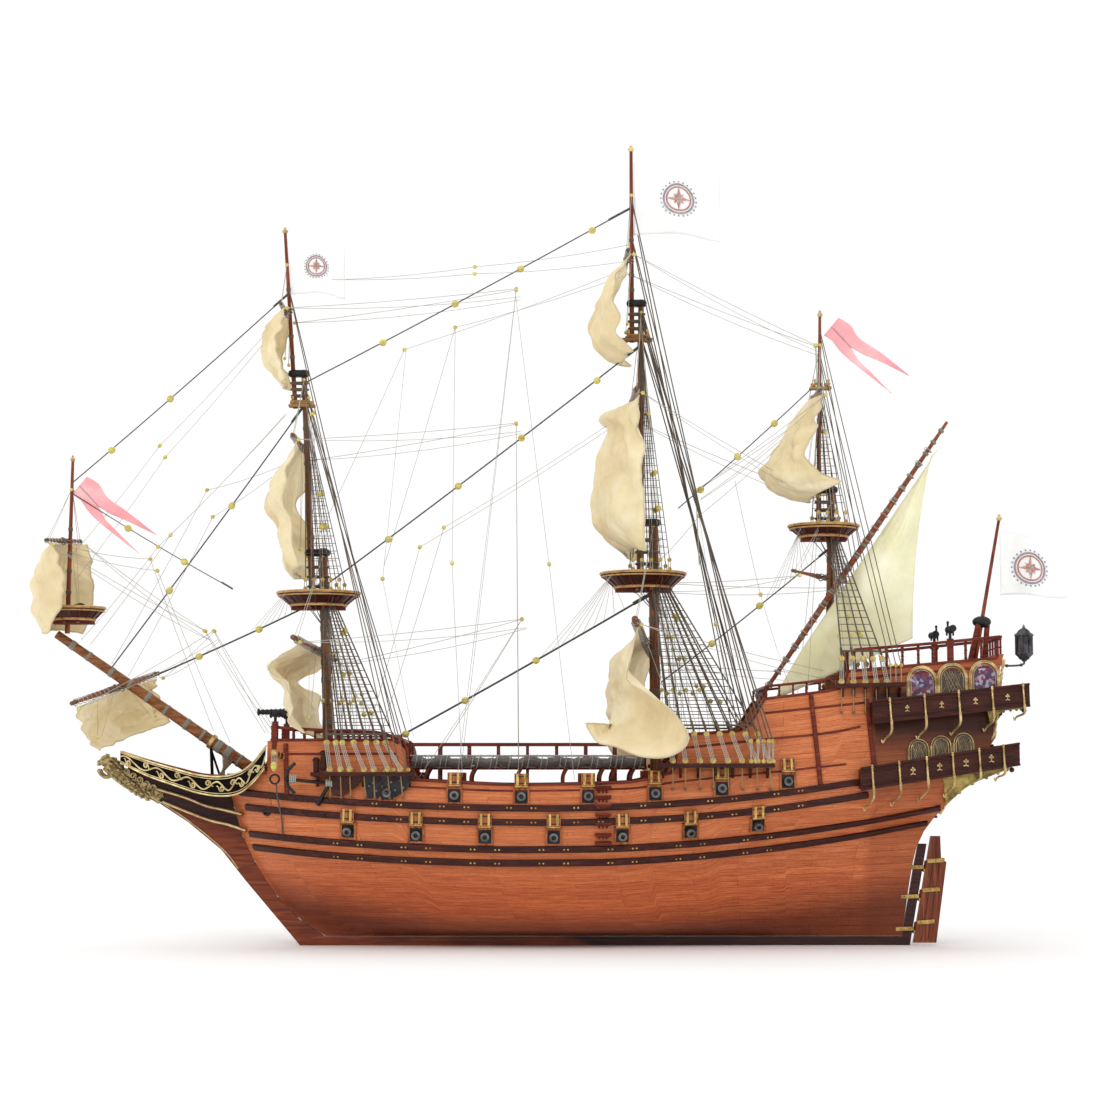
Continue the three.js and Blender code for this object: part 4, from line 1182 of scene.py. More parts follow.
def sail_grid(name, columns=90, lines=70):
    yard, head, foot, leech, middle, crease, cut = SAILS[name]
    (x, y, z), half, radius, swing, tip = YARDS[yard]
    seed = Vector((len(name) * 7.3, x * 0.03, z * 0.05))
    edge_row = [along_profile(leech, t) for t in spaced(0, 1, lines)]
    mid_row = [along_profile(middle, t) for t in spaced(0, 1, lines)]
    turn = Matrix.Rotation(-swing, 4, "Z") @ Matrix.Rotation(-tip, 4, "X")
    grid = []
    for r in range(lines):
        t = r / (lines - 1)
        row = []
        for c in range(columns):
            s = 2 * c / (columns - 1) - 1
            fullness = max(math.cos(s * math.pi / 2), 0) ** 0.75
            p = edge_row[r].lerp(mid_row[r], fullness)
            p = Vector((p.x, s * (head + (foot - head) * t), p.z))
            soft = min(1.0, 4.0 * t)
            # long folds that fan out from the gathered head, then broad and fine crumples
            fan = math.sin(13 * s / (0.45 + t) + 2.6 * noise.noise(Vector((s * 2, t * 2, 1)) + seed)) * (0.25
                + 0.75 * math.exp(-2.2 * t))
            drape = noise.noise(Vector((s * 2.6 + t, t * 3.0 - s, 0)) + seed) * 1.1
            crumple = ridged(Vector((s * 4.2 + 1.5 * t, t * 4.4 - 1.2 * s, 4))
                             + seed) * 1.25 + ridged(Vector((s * 9 - 3 * t, t * 8.5 + 2 * s, 7)) + seed) * 0.6
            p.x += soft * crease * (0.8 * fan + 1.3 * drape + 1.3 * crumple - 0.9)
            p.z += soft * crease * (0.7 * noise.noise(Vector((s * 3.0, t * 2.0, 9)) + seed) + 0.35
                                    * ridged(Vector((s * 7, t * 6, 11)) + seed))
            p.y += soft * crease * 0.5 * noise.noise(Vector((s * 4, t * 4, 15)) + seed)
            row.append(Vector((x, y, z)) + turn @ p)
        grid.append(row)
    return grid


def make_sails():
    lashing, edging = Shape(), Shape()
    for name, (yard, head, foot, leech, middle, crease, cut) in SAILS.items():
        grid = sail_grid(name)
        sheet_piece(name + "_cloth", grid, CANVAS, (head + foot, cut),
                    stands_for=[name])
        around = [row[0] for row in grid] + grid[-1][1:-1] + [row[-1] for row in reversed(grid)]
        edging.tube(around[::2], 0.5, 5)
        (x, y, z), half, radius, swing, tip = YARDS[yard]
        count = int(2 * head / 5)
        for i in range(count):
            share = (2 * i / (count - 1) - 1) * head / half
            middle_at = yard_point(yard, share)
            ring = [middle_at + Vector((math.cos(a) * (radius + 0.5), 0.5 * math.sin(a),
                                        math.sin(a) * (radius + 0.5) - 0.2)) for a in spaced(0, 5.5, 8)]
            lashing.tube(ring, 0.32, 4)
    foot, peak, radius = LATEEN
    for t in spaced(0.09, 0.9, 19):
        at = between(foot, peak, t)
        way = (Vector(peak) - Vector(foot)).normalized()
        side = way.cross(Vector((0, 1, 0)))
        ring = [at + side * math.cos(a) * (radius + 0.5) + Vector((0, 1, 0)) * math.sin(a) * (radius + 0.5)
                + way * (0.9 * a / 6) for a in spaced(0, 6.2, 9)]
        lashing.tube(ring, 0.42, 4)
    make_piece("sail_lashings", lashing, [LANYARD])
    make_piece("bolt_ropes", edging, [BOLT_ROPE])


def make_lateen():
    head_low, head_high = Vector((113, -7.2, 173.5)), Vector((219, -7.2, 327))
    foot_low, foot_high = Vector((109, -7.6, 160.5)), Vector((200, -9.5, 201))
    columns, lines = 40, 40
    grid = []
    for r in range(lines):
        t = r / (lines - 1)
        luff = head_low.lerp(head_high, t)
        foot = foot_low.lerp(foot_high, min(t * 1.0, 1)) if t < 1 else foot_high
        row = []
        for c in range(columns):
            s = c / (columns - 1)
            # the triangle between the yard and the leech, its corner at the foot's after end
            edge = foot_high.lerp(Vector((214, -8.4, 322)), s * 0 + t)
            p = luff.lerp(edge, s)
            hollow = math.sin(math.pi * s) * math.sin(math.pi * min(max(t, 0.02), 0.98))
            belly = 9 * hollow
            p = p + Vector((0, -belly, 0))
            p.x -= 3.5 * math.sin(math.pi * t) * s
            p.y += 2.2 * noise.noise(Vector((s * 3, t * 4, 2.2))) + 1.3 * ridged(Vector((s * 6 + 3 * t, t * 5,
                8))) + 0.5 * math.sin(20 * s + 5 * t) * (1 - t)
            row.append(p)
        grid.append(row)
    # sweep the lowest rows down to the foot rope
    for r in range(lines):
        t = r / (lines - 1)
        pull = max(0.0, 1 - t * 6) ** 2
        for c in range(columns):
            s = c / (columns - 1)
            goal = foot_low.lerp(foot_high, s)
            grid[r][c] = grid[r][c].lerp(goal + Vector((0, -3 * math.sin(math.pi * s), 0)), pull)
    sheet_piece("lateen_cloth", grid, BRIGHTENED_LATEEN_CANVAS, (65, 188),
                stands_for=["lateen_sail"])


# A pennant from the low corner of its hoist, as (aft, up): its upper and lower edges, then the
# insides of its two tails from the fork.
UPPER_TIP, LOWER_TIP, FORK = (57, -27), (45, -39), (18, -8)
STREAMER = ([(10, 12), (18, 7), (24, -2), (38, -12), UPPER_TIP],
            [(0, 0), (6, -4), (12, -12), (23, -22), LOWER_TIP],
            [FORK, (26, -13), (40, -19), UPPER_TIP], [FORK, (23, -17), (33, -27), LOWER_TIP])


def make_pennant(name, upper, lower, inner_upper, inner_lower, mast):
    """A two-tailed streamer. upper and lower are its outer edges from the hoist to the tips; the
    inner edges run from the fork to the same tips."""
    upper, lower = through(upper, 8), through(lower, 8)
    hoist = between(upper[0], lower[0], 0.5)
    shape, lines = Shape(), 8
    for outer, inner in ((upper, inner_upper), (lower, inner_lower)):
        legs = [hoist] + [Vector(p) for p in inner]
        count, rows = len(outer), []
        for c in range(count):
            u = c / (count - 1) * (len(legs) - 1)
            leg = min(int(u), len(legs) - 2)
            middle = legs[leg].lerp(legs[leg + 1], u - leg)
            row = []
            for r in range(lines):
                p = outer[c].lerp(middle, r / (lines - 1))
                share = c / (count - 1)
                p.y += 2.2 * math.sin(6.5 * share + 0.8 * r / (lines - 1)) * share
                row.append(p)
            rows.append(row)
        shape.rows(rows, ring=False, flat=[(p.x, p.z) for row in rows for p in row])
    made = make_piece(name, shape, [PENNANT], closed=False, sharp=180)
    weld = made.modifiers.new("weld", "WELD")
    weld.merge_threshold = 0.05 * MM
    solid = made.modifiers.new("cloth", "SOLIDIFY")
    solid.thickness, solid.offset = 0.3 * MM, 0


def crest(shape, at, size, side):
    """A plain badge: an eight-pointed star inside a beaded ring, raised on one face of the cloth."""
    at = Vector(at)
    ring = [at + Vector((size * 0.4 * math.cos(a), 0, size * 0.4 * math.sin(a)))
            for a in [2 * math.pi * k / 36 for k in range(36)]]
    shape.tube(ring, size * 0.026, 5, slot=0, closed=True)
    inner = [at + (p - at) * 0.8 for p in ring]
    shape.tube(inner, size * 0.02, 4, slot=2, closed=True)
    for k in range(24):
        a = 2 * math.pi * k / 24
        shape.ball(at + Vector((size * 0.475 * math.cos(a), 0, size * 0.475 * math.sin(a))), size * 0.025, 6,
                   slot=0)
    for k in range(8):
        a = math.pi / 4 * k
        long = size * (0.31 if k % 2 == 0 else 0.19)
        way, across = Vector((math.cos(a), 0, math.sin(a))), Vector((-math.sin(a), 0, math.cos(a)))
        for flank, slot in ((1, 2), (-1, 1)):
            outline = [at + way * size * 0.02, at + way * long * 0.3 + across * flank * size * 0.055,
                       at + way * long]
            shape.plate(outline if flank * side > 0 else outline[::-1], (0, 1, 0), size * 0.02, slot=slot)
    shape.ball(at, size * 0.06, 8, slot=0, scale=(1, 0.4, 1))


def make_flag(name, corner, wide, tall, emblem, replaces=(), lean=0.0, seed=0.0, crest_at=(0.5, 0.5)):
    columns, lines = 34, 24
    grid = []

    def surface(s, t):
        drop = 0.16 * wide * s * s * 0.6
        wave = (2.6 * math.sin(5.2 * s + seed + 1.2 * t) + 1.2 * math.sin(9.5 * s - 2 * t + seed)) * min(1,
            2 * s)
        return Vector(corner) + Vector((wide * s * 0.97 + lean * t * tall, wave,
                                        -tall * t * (1 - 0.08 * s) - drop + 2.0 * math.sin(4 * s + seed) * s))

    for r in range(lines):
        grid.append([surface(c / (columns - 1), r / (lines - 1)) for c in range(columns)])
    shape = Shape()
    s, t = crest_at
    for side in SIDES:
        centre = surface(s, t)
        badge = Shape()
        crest(badge, (0, 0, 0), emblem, side)
        for p in badge.points:
            u, v = s + p.x / wide, t - p.z / tall
            at = surface(u, v)
            shape.points.append(Vector((at.x, at.y + p.y + side * 0.45, at.z)))
        base = len(shape.points) - len(badge.points)
        shape.flat.extend(badge.flat)
        shape.faces.extend([base + i for i in face] for face in badge.faces)
        shape.slots.extend(badge.slots)
    crest_piece = make_piece(name + "_badge", shape, [PEWTER_PAINT, CREST, RED_PAINT])
    sheet_piece(name + "_cloth", grid, FLAG, (wide, tall), stands_for=replaces,
                thick=0.3)


PEWTER_PAINT = wood("badge_grey", (140, 134, 146), (166, 160, 168), (192, 188, 190))
RED_PAINT = wood("badge_red", (188, 116, 112), (206, 144, 134), (220, 168, 156))

BOLT_ROPE = cordage("bolt_rope", (198, 178, 136), (240, 228, 196))
make_sails()
make_lateen()
for name, mast, (x, z) in (("sprit_pennant", "sprit_topmast", (-358, 297)),
                           ("mizzen_pennant", "mizzen_topmast", (144.5, 405))):
    edges = [[(x + dx, 0, z + dz) for dx, dz in edge] for edge in STREAMER]
    make_pennant(name, *edges, mast)
make_flag("fore_flag", (-217, 0, 470), 41, 38, 18, seed=0.4, crest_at=(0.52, 0.5))
make_flag("main_flag", (17, 0, 523), 60, 50, 26, seed=1.1, crest_at=(0.52, 0.5))
make_flag("stern_ensign", (260.4, 0, 272), 46, 42, 26, replaces=["stern_ensign"], seed=2.0,
          crest_at=(0.44, 0.56))


# ---- Stern: galleries, windows, transom, lantern, rudder irons -------------------------------------
GALLERIES = {
    # front, aft, parapet top at the front, slope, height, reach, end growth in the CAD
    "lower": (158, 262.5, 114.5, .155, 12.5, 8, 26), "upper": (167, 270, 157.5, .112, 13, 10, 28),
}


def gallery_point(which, x, z, side, out=0.0):
    """A point on a gallery's outer face."""
    _, _, _, _, _, reach, ends = GALLERIES[which]
    share = (x - BOW_X(z) + ends) / (STERN_X(z) - BOW_X(z) + 2 * ends)
    return Vector((x, side * (half_breadth(share, z) + reach + out), z))


def gallery_top(which, x):
    front, _, top, slope, _, _, _ = GALLERIES[which]
    return top + slope * (x - front)


def twisted_column(shape, foot, head, radius, slot=0, turns=5):
    """A turned column wound with a raised thread."""
    foot, head = Vector(foot), Vector(head)
    way = (head - foot).normalized()
    long = (head - foot).length
    profile = [(0, radius * 1.5), (long * 0.06, radius * 1.5), (long * 0.08, radius),
               (long * 0.9, radius * 0.85),
               (long * 0.92, radius * 1.45), (long, radius * 1.45)]
    shape.lathe(foot, way, profile, sides=8, slot=slot)
    a = way.orthogonal().normalized()
    b = way.cross(a)
    thread = [foot + way * long * (0.1 + 0.8 * t)
              + (a * math.cos(turns * 6.283 * t) + b * math.sin(turns * 6.283 * t)) * radius * 1.02
              for t in spaced(0, 1, turns * 7)]
    shape.tube(thread, radius * 0.42, 4, slot=slot)


def arch_points(x, low, spring, half, side, depth, squeeze=1.0):
    points = [(x - half, low)] + [(x - half * math.cos(a), spring + half * squeeze * math.sin(a))
                                  for a in spaced(0, math.pi, 13)] + [(x + half, low)]
    return [on_hull(px, pz, side, depth)[0] for px, pz in points]


def hull_window(shape, x, low, spring, half, side, mural=False):
    """An arched window on the planking: panel, gilt hood and inner bead, lattice bars."""
    panel = arch_points(x, low, spring, half - 0.6, side, 0.25)
    normal = on_hull(x, spring, side)[1]
    shape.plate(panel, normal, 0.9, slot=1 if mural else 2)
    shape.tube(arch_points(x, low, spring, half, side, 0.8), 0.7 if half > 8 else 0.34, 6, slot=0)
    if half > 8:
        shape.tube(arch_points(x, low, spring, half + 1.1, side, 0.5), 0.55, 6, slot=0)
    shape.tube(arch_points(x, low, spring, half - 1.5, side, 0.7), 0.24, 5, slot=0)
    for dx in (-half - 0.2, half + 0.2):
        top = on_hull(x + dx, spring, side, 1.0)[0]
        foot = on_hull(x + dx, low, side, 1.0)[0]
        shape.lathe(foot, top - foot,
                    [(0, 1.5), (1.2, 1.5), (1.6, 0.9), ((top - foot).length - 1, 0.9),
                     ((top - foot).length, 1.5)], sides=6, slot=0)
    if not mural:
        for k in spaced(-0.7, 0.7, 6):
            for slant in (-1, 1):
                a = on_hull(x + max(-0.8, min(0.8, k - 0.5 * slant)) * half, low + 1.0, side, 0.9)[0]
                b = on_hull(x + max(-0.8, min(0.8, k + 0.5 * slant)) * half * 0.8,
                            spring + half * (0.7 - 0.45 * abs(k)), side, 0.9)[0]
                shape.tube([a, b], 0.08, 3, slot=0)


def rosette(shape, at, side, size=1.5):
    """A small gilt three-leaved ornament on the gallery side."""
    at = Vector(at)
    for dx, dz in ((-0.9, 0.5), (0.9, 0.5), (0, 1.2)):
        shape.ball(at + Vector((dx * size * 0.7, 0, dz * size)), size * 0.5, 6, scale=(1, 0.5, 1))
    shape.tube([at + Vector((0, 0, 0.6 * size)), at + Vector((0, 0, -1.2 * size))], size * 0.24, 5)
    shape.tube([at + Vector((-size, 0, -1.4 * size)), at + Vector((0, 0, -1.0 * size)),
                at + Vector((size, 0, -1.4 * size))], size * 0.26, 5)


LOW_COLUMNS = (165.5, 183, 201, 218, 235.5, 251.5)
HIGH_COLUMNS = (178, 200.6, 223, 245, 265.5)


def make_galleries():
    gilt, trim, glazing, brackets = Shape(), Shape(), Shape(), Shape()
    for side in SIDES:
        for which, columns in (("lower", LOW_COLUMNS), ("upper", HIGH_COLUMNS)):
            front, aft, top, slope, tall, reach, _ = GALLERIES[which]
            xs = spaced(front + 0.5, aft - 0.2, 22)
            for lift, high, wide, slot in ((0.5, 1.5, 3.2, 0), (-tall - 0.4, 1.4, 3.0, 0),
                                           (-2.4, 0.7, 1.2, 0), (-tall + 2.6, 0.7, 1.2, 0)):
                path = [gallery_point(which, x, gallery_top(which, x) + lift, side, -0.5 if wide > 2
                                      else 0.1) for x in xs]
                trim.mould(path, wide, high, [(0, 0, 1)] * len(path), slot)
            for i, x in enumerate(columns):
                z = gallery_top(which, x)
                head = gallery_point(which, x, z + 0.6, side, 1.0)
                foot = gallery_point(which, x + 0.6, z - tall, side, 1.0)
                twisted_column(gilt, foot, head, 0.62)
                gilt.ball(head + Vector((0, 0, 0.6)), 0.8, 8)
                # carved bracket curling down to the hull below the column
                drop = 13 if i < 4 else 8
                under, _ = on_hull(x - 2.5, z - tall - drop, side, 0.8)
                mid = foot.lerp(under, 0.45) + Vector((1.6, side * 2.4, -1.2))
                curl = through([foot, mid, under + Vector((0, side * 1.0, 1)),
                                under + Vector((-1.6, side * 1.6, -1.2)),
                                under + Vector((-2.4, side * 2.0, 0.8))], 5)
                gilt.tube(curl, [0.95 - 0.55 * k / len(curl) for k in range(len(curl))], 6)
                if i + 1 < len(columns):
                    middle = (x + columns[i + 1]) / 2
                    at = gallery_point(which, middle, gallery_top(which, middle) - tall * 0.5, side, 0.45)
                    if not (which == "lower" and i in (0,)):
                        rosette(gilt, at, side, 1.6 if which == "lower" else 1.35)
        # fretted knees that carry the after ends of the galleries
        for hull_x0, hull_z, tip_x, which in ((215, 93, 257, "lower"), (245, 145.5, 266, "upper")):
            tip = gallery_point(which, tip_x, gallery_top(which, tip_x) - GALLERIES[which][4] - 1, side, -3)
            root = Vector((hull_x0, side * (hull_y(hull_x0, hull_z) + 2), hull_z))
            lower = through([root, root.lerp(tip, 0.35) + Vector((0, 0, 4)),
                             root.lerp(tip, 0.75) + Vector((0, 0, 2)), tip], 6)
            upper = [Vector((p.x - 1.5, p.y, gallery_top(which, p.x) - GALLERIES[which][4] - 0.8))
                     for p in lower]
            brackets.plate(lower + upper[::-1], (0, 1, 0), 2.2, slot=0)
            brackets.tube(lower, 1.3, 6, slot=0)
            for k in range(4, len(lower) - 2, 3):
                brackets.ball(lower[k] + Vector((0, 0, -1.2)), 1.2, 6, slot=0)
            brackets.ball(tip + Vector((0.5, 0, -2)), 1.8, 8, slot=1)
        for x, spring in ((197.6, 127.5), (212.5, 129.6), (227.4, 131.5)):
            hull_window(glazing, x, spring - 12, spring, 6.4, side)
        for k, (x, spring, foot) in enumerate(((201.3, 171.4, 160.5), (221.4, 173.4, 162.6),
                                               (242.8, 175.2, 165.4))):
            hull_window(glazing, x, foot, spring, 8.8, side, mural=k != 1)
    make_transom(gilt, trim, glazing)
    make_piece("gallery_gilding", gilt, [GOLD])
    make_piece("gallery_mouldings", trim, [DARK, GOLD])
    make_piece("stern_windows", glazing, [GOLD, MURAL, LATTICE])
    make_piece("gallery_knees", brackets, [OLIVE_GILT, BLACK])


def flat_window(shape, x, y, low, spring, half):
    """An arched window in a wall across the ship."""
    outline = lambda h, out: [Vector((x + out, y - h, low))] + [Vector((x + out, y - h * math.cos(a),
        spring + h * math.sin(a))) for a in spaced(0, math.pi, 13)] + [Vector((x + out, y + h, low))]
    shape.plate(outline(half - 0.5, 0.2), (1, 0, 0), 0.8, slot=2)
    shape.tube(outline(half, 0.8), 0.8, 6, slot=0)
    shape.tube(outline(half - 1.6, 0.8), 0.35, 5, slot=0)
    for k in spaced(-0.6, 0.6, 4):
        shape.tube([(x + 0.8, y + k * half, low), (x + 0.8, y + k * half, spring + half * 0.6)], 0.18, 3,
                   slot=0)
    for z in spaced(low + 2, spring + 1, 4):
        shape.tube([(x + 0.8, y - half, z), (x + 0.8, y + half, z)], 0.18, 3, slot=0)


def make_transom(gilt, trim, glazing):
    """The flat stern above the rudder: mouldings, columns, windows and gilt scrolls."""
    face = lambda z: STERN_X(z) + 0.3
    for z, high in ((84, 1.6), (98, 2.2), (110, 1.4), (136, 2.2), (152, 1.6), (172, 2.0), (184, 1.4)):
        half = half_breadth(1, z)
        trim.mould([(face(z) + 0.6, -half, z), (face(z) + 0.6, half, z)], 1.8, high, [(0, 0, 1)] * 2)
    for z0, z1, ys in ((86, 136, (-1, 1)), (136, 186, (-1, 1))):
        for s in ys:
            path = [(face(z) + 0.9, s * (half_breadth(1, z) - 0.6), z) for z in spaced(z0, z1, 8)]
            twisted_column(gilt, path[0], path[-1], 0.9, turns=12)
    for y in (-22, -11, 0, 11, 22):
        flat_window(glazing, face(126) + 0.6, y, 120.5, 127.5, 4.4)
    for y in (-20, -7, 7, 20):
        flat_window(glazing, face(162) + 0.4, y, 158, 164.5, 4.2)
    for s in SIDES:
        for k in range(3):
            scroll(gilt, Vector((face(90) + 1.2, s * (8 + 9 * k), 91)), (0, s, 0), (0, 0, 1), 4.2)
            scroll(gilt, Vector((face(178) + 1.0, s * (6 + 8.5 * k), 178.5)), (0, s, 0), (0, 0, 1), 3.6)
            scroll(gilt, Vector((face(144) + 1.0, s * (6 + 10 * k), 144.5)), (0, s, 0), (0, 0, 1), 4.0)
    for z in (84, 144, 179):
        gilt.ball(Vector((face(z) + 1.2, 0, z + (7 if z == 84 else 0))), 2.6, 10, scale=(0.5, 1, 1))


def scroll(shape, at, along, up, size, turns=1.35, radius=0.42, slot=0):
    """A flat spiral with a leaf running off it."""
    at, along, up = Vector(at), Vector(along).normalized(), Vector(up).normalized()
    path = []
    for t in spaced(0, 1, 20):
        a = 2 * math.pi * turns * t
        r = size * (0.12 + 0.5 * (1 - t))
        path.append(at + along * (math.cos(a) * r) + up * (math.sin(a) * r))
    tail = [path[0] + along * (size * 0.55 * t) + up * (-size * 0.5 * math.sin(2.2 * t))
            for t in spaced(1, 0.1, 6)]
    full = tail + path
    shape.tube(full, [radius * (0.6 + 0.7 * math.sin(math.pi * k / (len(full) - 1)))
                      for k in range(len(full))], 5, slot=slot)


def make_lantern():
    """A six-sided lantern with framed panes, standing on a bent bracket."""
    shape = Shape()
    at, side = Vector(LANTERN_AT), 5.6
    shape.lathe(at, (0, 0, 1),
                [(-11.5, 0.3), (-10.8, 1.4), (-9.6, 2.4), (-6.6, side), (-5.8, side + 0.5), (-5.0, side),
                 (5.6, side), (6.2, side + 0.8),
                                (7.0, side + 0.6), (9.2, 3.2), (10.2, 2.1), (10.8, 0.9), (11.6, 1.1),
                 (12.4, 0.7), (13.6, 0.2)], sides=6)
    for k in range(6):
        a, b = math.pi / 3 * k, math.pi / 3 * (k + 1)
        rim, nxt = Vector((math.cos(a), math.sin(a), 0)), Vector((math.cos(b), math.sin(b), 0))
        up = lambda height: Vector((0, 0, height))
        shape.tube([at + rim * side + up(-5.4), at + rim * side + up(6), at + rim * 3.4 + up(9.2),
                    at + rim * 1.3 + up(10.8)], 0.42, 5)
        shape.tube([at + rim * side + up(-5.4), at + rim * 2.6 + up(-9.7)], 0.38, 5)
        for t in (0.25, 0.5, 0.75):
            pane = rim.lerp(nxt, t) * (side - 0.05)
            shape.tube([at + pane + up(-5), at + pane + up(5.6)], 0.2, 4)
        for height in (-2, 1.8):
            shape.tube([at + rim * (side + 0.05) + up(height), at + nxt * (side + 0.05) + up(height)], 0.2, 4)
    foot = at + Vector((0, 0, -11))
    bracket = through([(256, 0, 186.5), (262, 0, foot.z - 2.6), foot + Vector((-4, 0, -2.6)),
                       foot + Vector((-0.6, 0, -1.6)), foot], 5)
    shape.tube(bracket, 0.75, 6)
    for k in (0.3, 0.6):
        shape.ball(bracket[int(k * len(bracket))], 1.2, 8)
    make_piece("lantern", shape, [PEWTER], stands_for=["stern_lantern"])


LANTERN_AT = (275.4, 0, 197)
HINGE_X = lambda z: 196.6 + 0.18 * z + 1.6


def make_rudder_irons():
    """Straps and pins: the long straps swing with the rudder, the short ones stay on the sternpost."""
    moving, fixed, boards = Shape(), Shape(), Shape()
    for z in (12, 33, 52):
        for side in SIDES:
            moving.bar((HINGE_X(z) + 1.2, side * 2.35, z + 2.6), (HINGE_X(z) + 12.5, side * 2.35, z + 3.4),
                       0.7, 2.6)
            fixed.bar((HINGE_X(z) - 13, side * 2.5, z - 1.6), (HINGE_X(z) - 1.4, side * 2.5, z - 1.2), 0.9,
                      2.6)
            for k in (3.4, 6.6, 10):
                moving.ball((HINGE_X(z) + k, side * 2.7, z + 3), 0.6, 6)
                fixed.ball((HINGE_X(z) - k - 0.6, side * 3.0, z - 1.4), 0.6, 6)
        fixed.lathe((HINGE_X(z - 3), 0, z - 4.6), (0.18, 0, 1),
                    [(0, 1.3), (0.6, 1.6), (2.0, 1.6), (2.4, 1.2)], sides=10)
    for side in SIDES:
        for dx in (5, 9.3):
            boards.bar((HINGE_X(4) + dx, side * 2.05, 3), (HINGE_X(52) + dx, side * 2.05, 53), 0.25, 0.35,
                       up=(1, 0, 0))
    make_piece("rudder_straps", moving, [BRASS], body="rudder")
    make_piece("rudder_seams", boards, [WALE], body="rudder")
    make_piece("sternpost_straps", fixed, [BRASS])


# ---- Head: gilt rails and scrollwork, lion, cheeks ---------------------------------------------------
HEAD_UPPER = [(-322, 4, 126.4), (-304, 11, 120.4), (-286, 17, 115.4), (-268, 23, 111), (-252, 28, 110),
              (-240, 33, 112.8), (-231, 38, 119), (-222, 42, 130)]
HEAD_LOWER = [(-322, 4, 119.5), (-304, 11, 111), (-286, 17, 105), (-268, 23, 99.5), (-252, 28, 97.5),
              (-240, 33, 99.5), (-231, 38, 106), (-223, 42, 115)]


def head_side(side, share, out=0.0):
    """Matching paths along the head's side at a share of its height (0 low, 1 high)."""
    path = []
    for (x0, y0, z0), (x1, y1, z1) in zip(HEAD_LOWER, HEAD_UPPER):
        path.append(Vector((x0 + (x1 - x0) * share, side * (y0 + (y1 - y0) * share + out),
                            z0 + (z1 - z0) * share)))
    return through(path, 5)


def make_head():
    rails, panel, gilt = Shape(), Shape(), Shape()
    for side in SIDES:
        for share, radius, out in ((1.0, 0.62, 0.4), (0.0, 0.6, 0.6), (0.88, 0.28, 0.5), (0.12, 0.28, 0.6)):
            gilt.tube(head_side(side, share, out), radius, 7)
        low, high = head_side(side, 0.06, 0.25), head_side(side, 0.95, 0.25)
        panel.rows([[a, b, b + Vector((0, side * 0.35, 0)), a + Vector((0, side * 0.35, 0))] for a,
                    b in zip(low, high)])
        middle = head_side(side, 0.5, 0.9)
        lower, upper = head_side(side, 0.26, 0.9), head_side(side, 0.74, 0.9)
        total = len(middle)
        wave = []
        for k, p in enumerate(middle):
            t = math.sin(2 * math.pi * k / 5.8)
            wave.append(p.lerp(upper[k], max(t, 0)) if t > 0 else p.lerp(lower[k], -t))
        smooth = through(wave, 3)
        gilt.tube(smooth, 0.52, 5)
        for k in range(2, total - 1, 3):
            towards = (middle[min(k + 1, total - 1)] - middle[k - 1]).normalized()
            up = (upper[k] - lower[k]).normalized()
            scroll(gilt, middle[k] + up * (1.4 if k % 2 else -1.4), towards * (1 if k % 2 else -1),
                   up * (1 if k % 2 else -1), 3.3, radius=0.44)
        # cheek rails sweeping from the bow to the figurehead's foot
        cheeks = [[(-298, 3, 101.8), (-279, 4.5, 96.2), (-264.5, 8, 90.8), (-252, 13, 88.2),
                   (-239.6, 20, 85.4)],
                  [(-294, 3, 93.3), (-279, 3.6, 87.3), (-262.5, 5.5, 81.3), (-250, 9, 78.6),
                   (-237.5, 16, 74.8)]]
        for run in cheeks:
            path = through([(x, side * y, z) for x, y, z in run], 5)
            rails.mould(path, 2.6, 2.2, [(0, 0, 1)] * len(path))
            gilt.tube([p + Vector((0, side * 1.5, 0.2)) for p in path], 0.75, 6)
        # crosspieces under the tray, seen from in front
    for x, half, z in ((-304, 10.5, 120.2), (-286, 16.5, 115.2), (-268, 22.5, 110.8), (-252, 27.5, 109.8)):
        rails.bar((x, -half, z), (x, half, z), 1.6, 1.6)
    for y in (-3, 0, 3):
        rails.tube(through([(-318, y * 0.4, 124), (-290, y, 116.5), (-268, y, 111.4), (-244, y, 110)], 4),
                   0.8, 5)
    # the stem knee's own gilt edge
    for side in SIDES:
        knee = through([(-314, side * 2.3, 101.5), (-296, side * 2.3, 93.5), (-276, side * 2.3, 80.4),
                        (-254, side * 2.3, 62.4), (-244, side * 2.3, 50)], 5)
        gilt.tube(knee, 0.4, 4)
    make_piece("head_panels", panel, [BLACK_PAINT])
    make_piece("head_timbers", rails, [KEEL_WOOD])
    make_piece("head_gilding", gilt, [GILT_BRIGHT])
    make_lion()


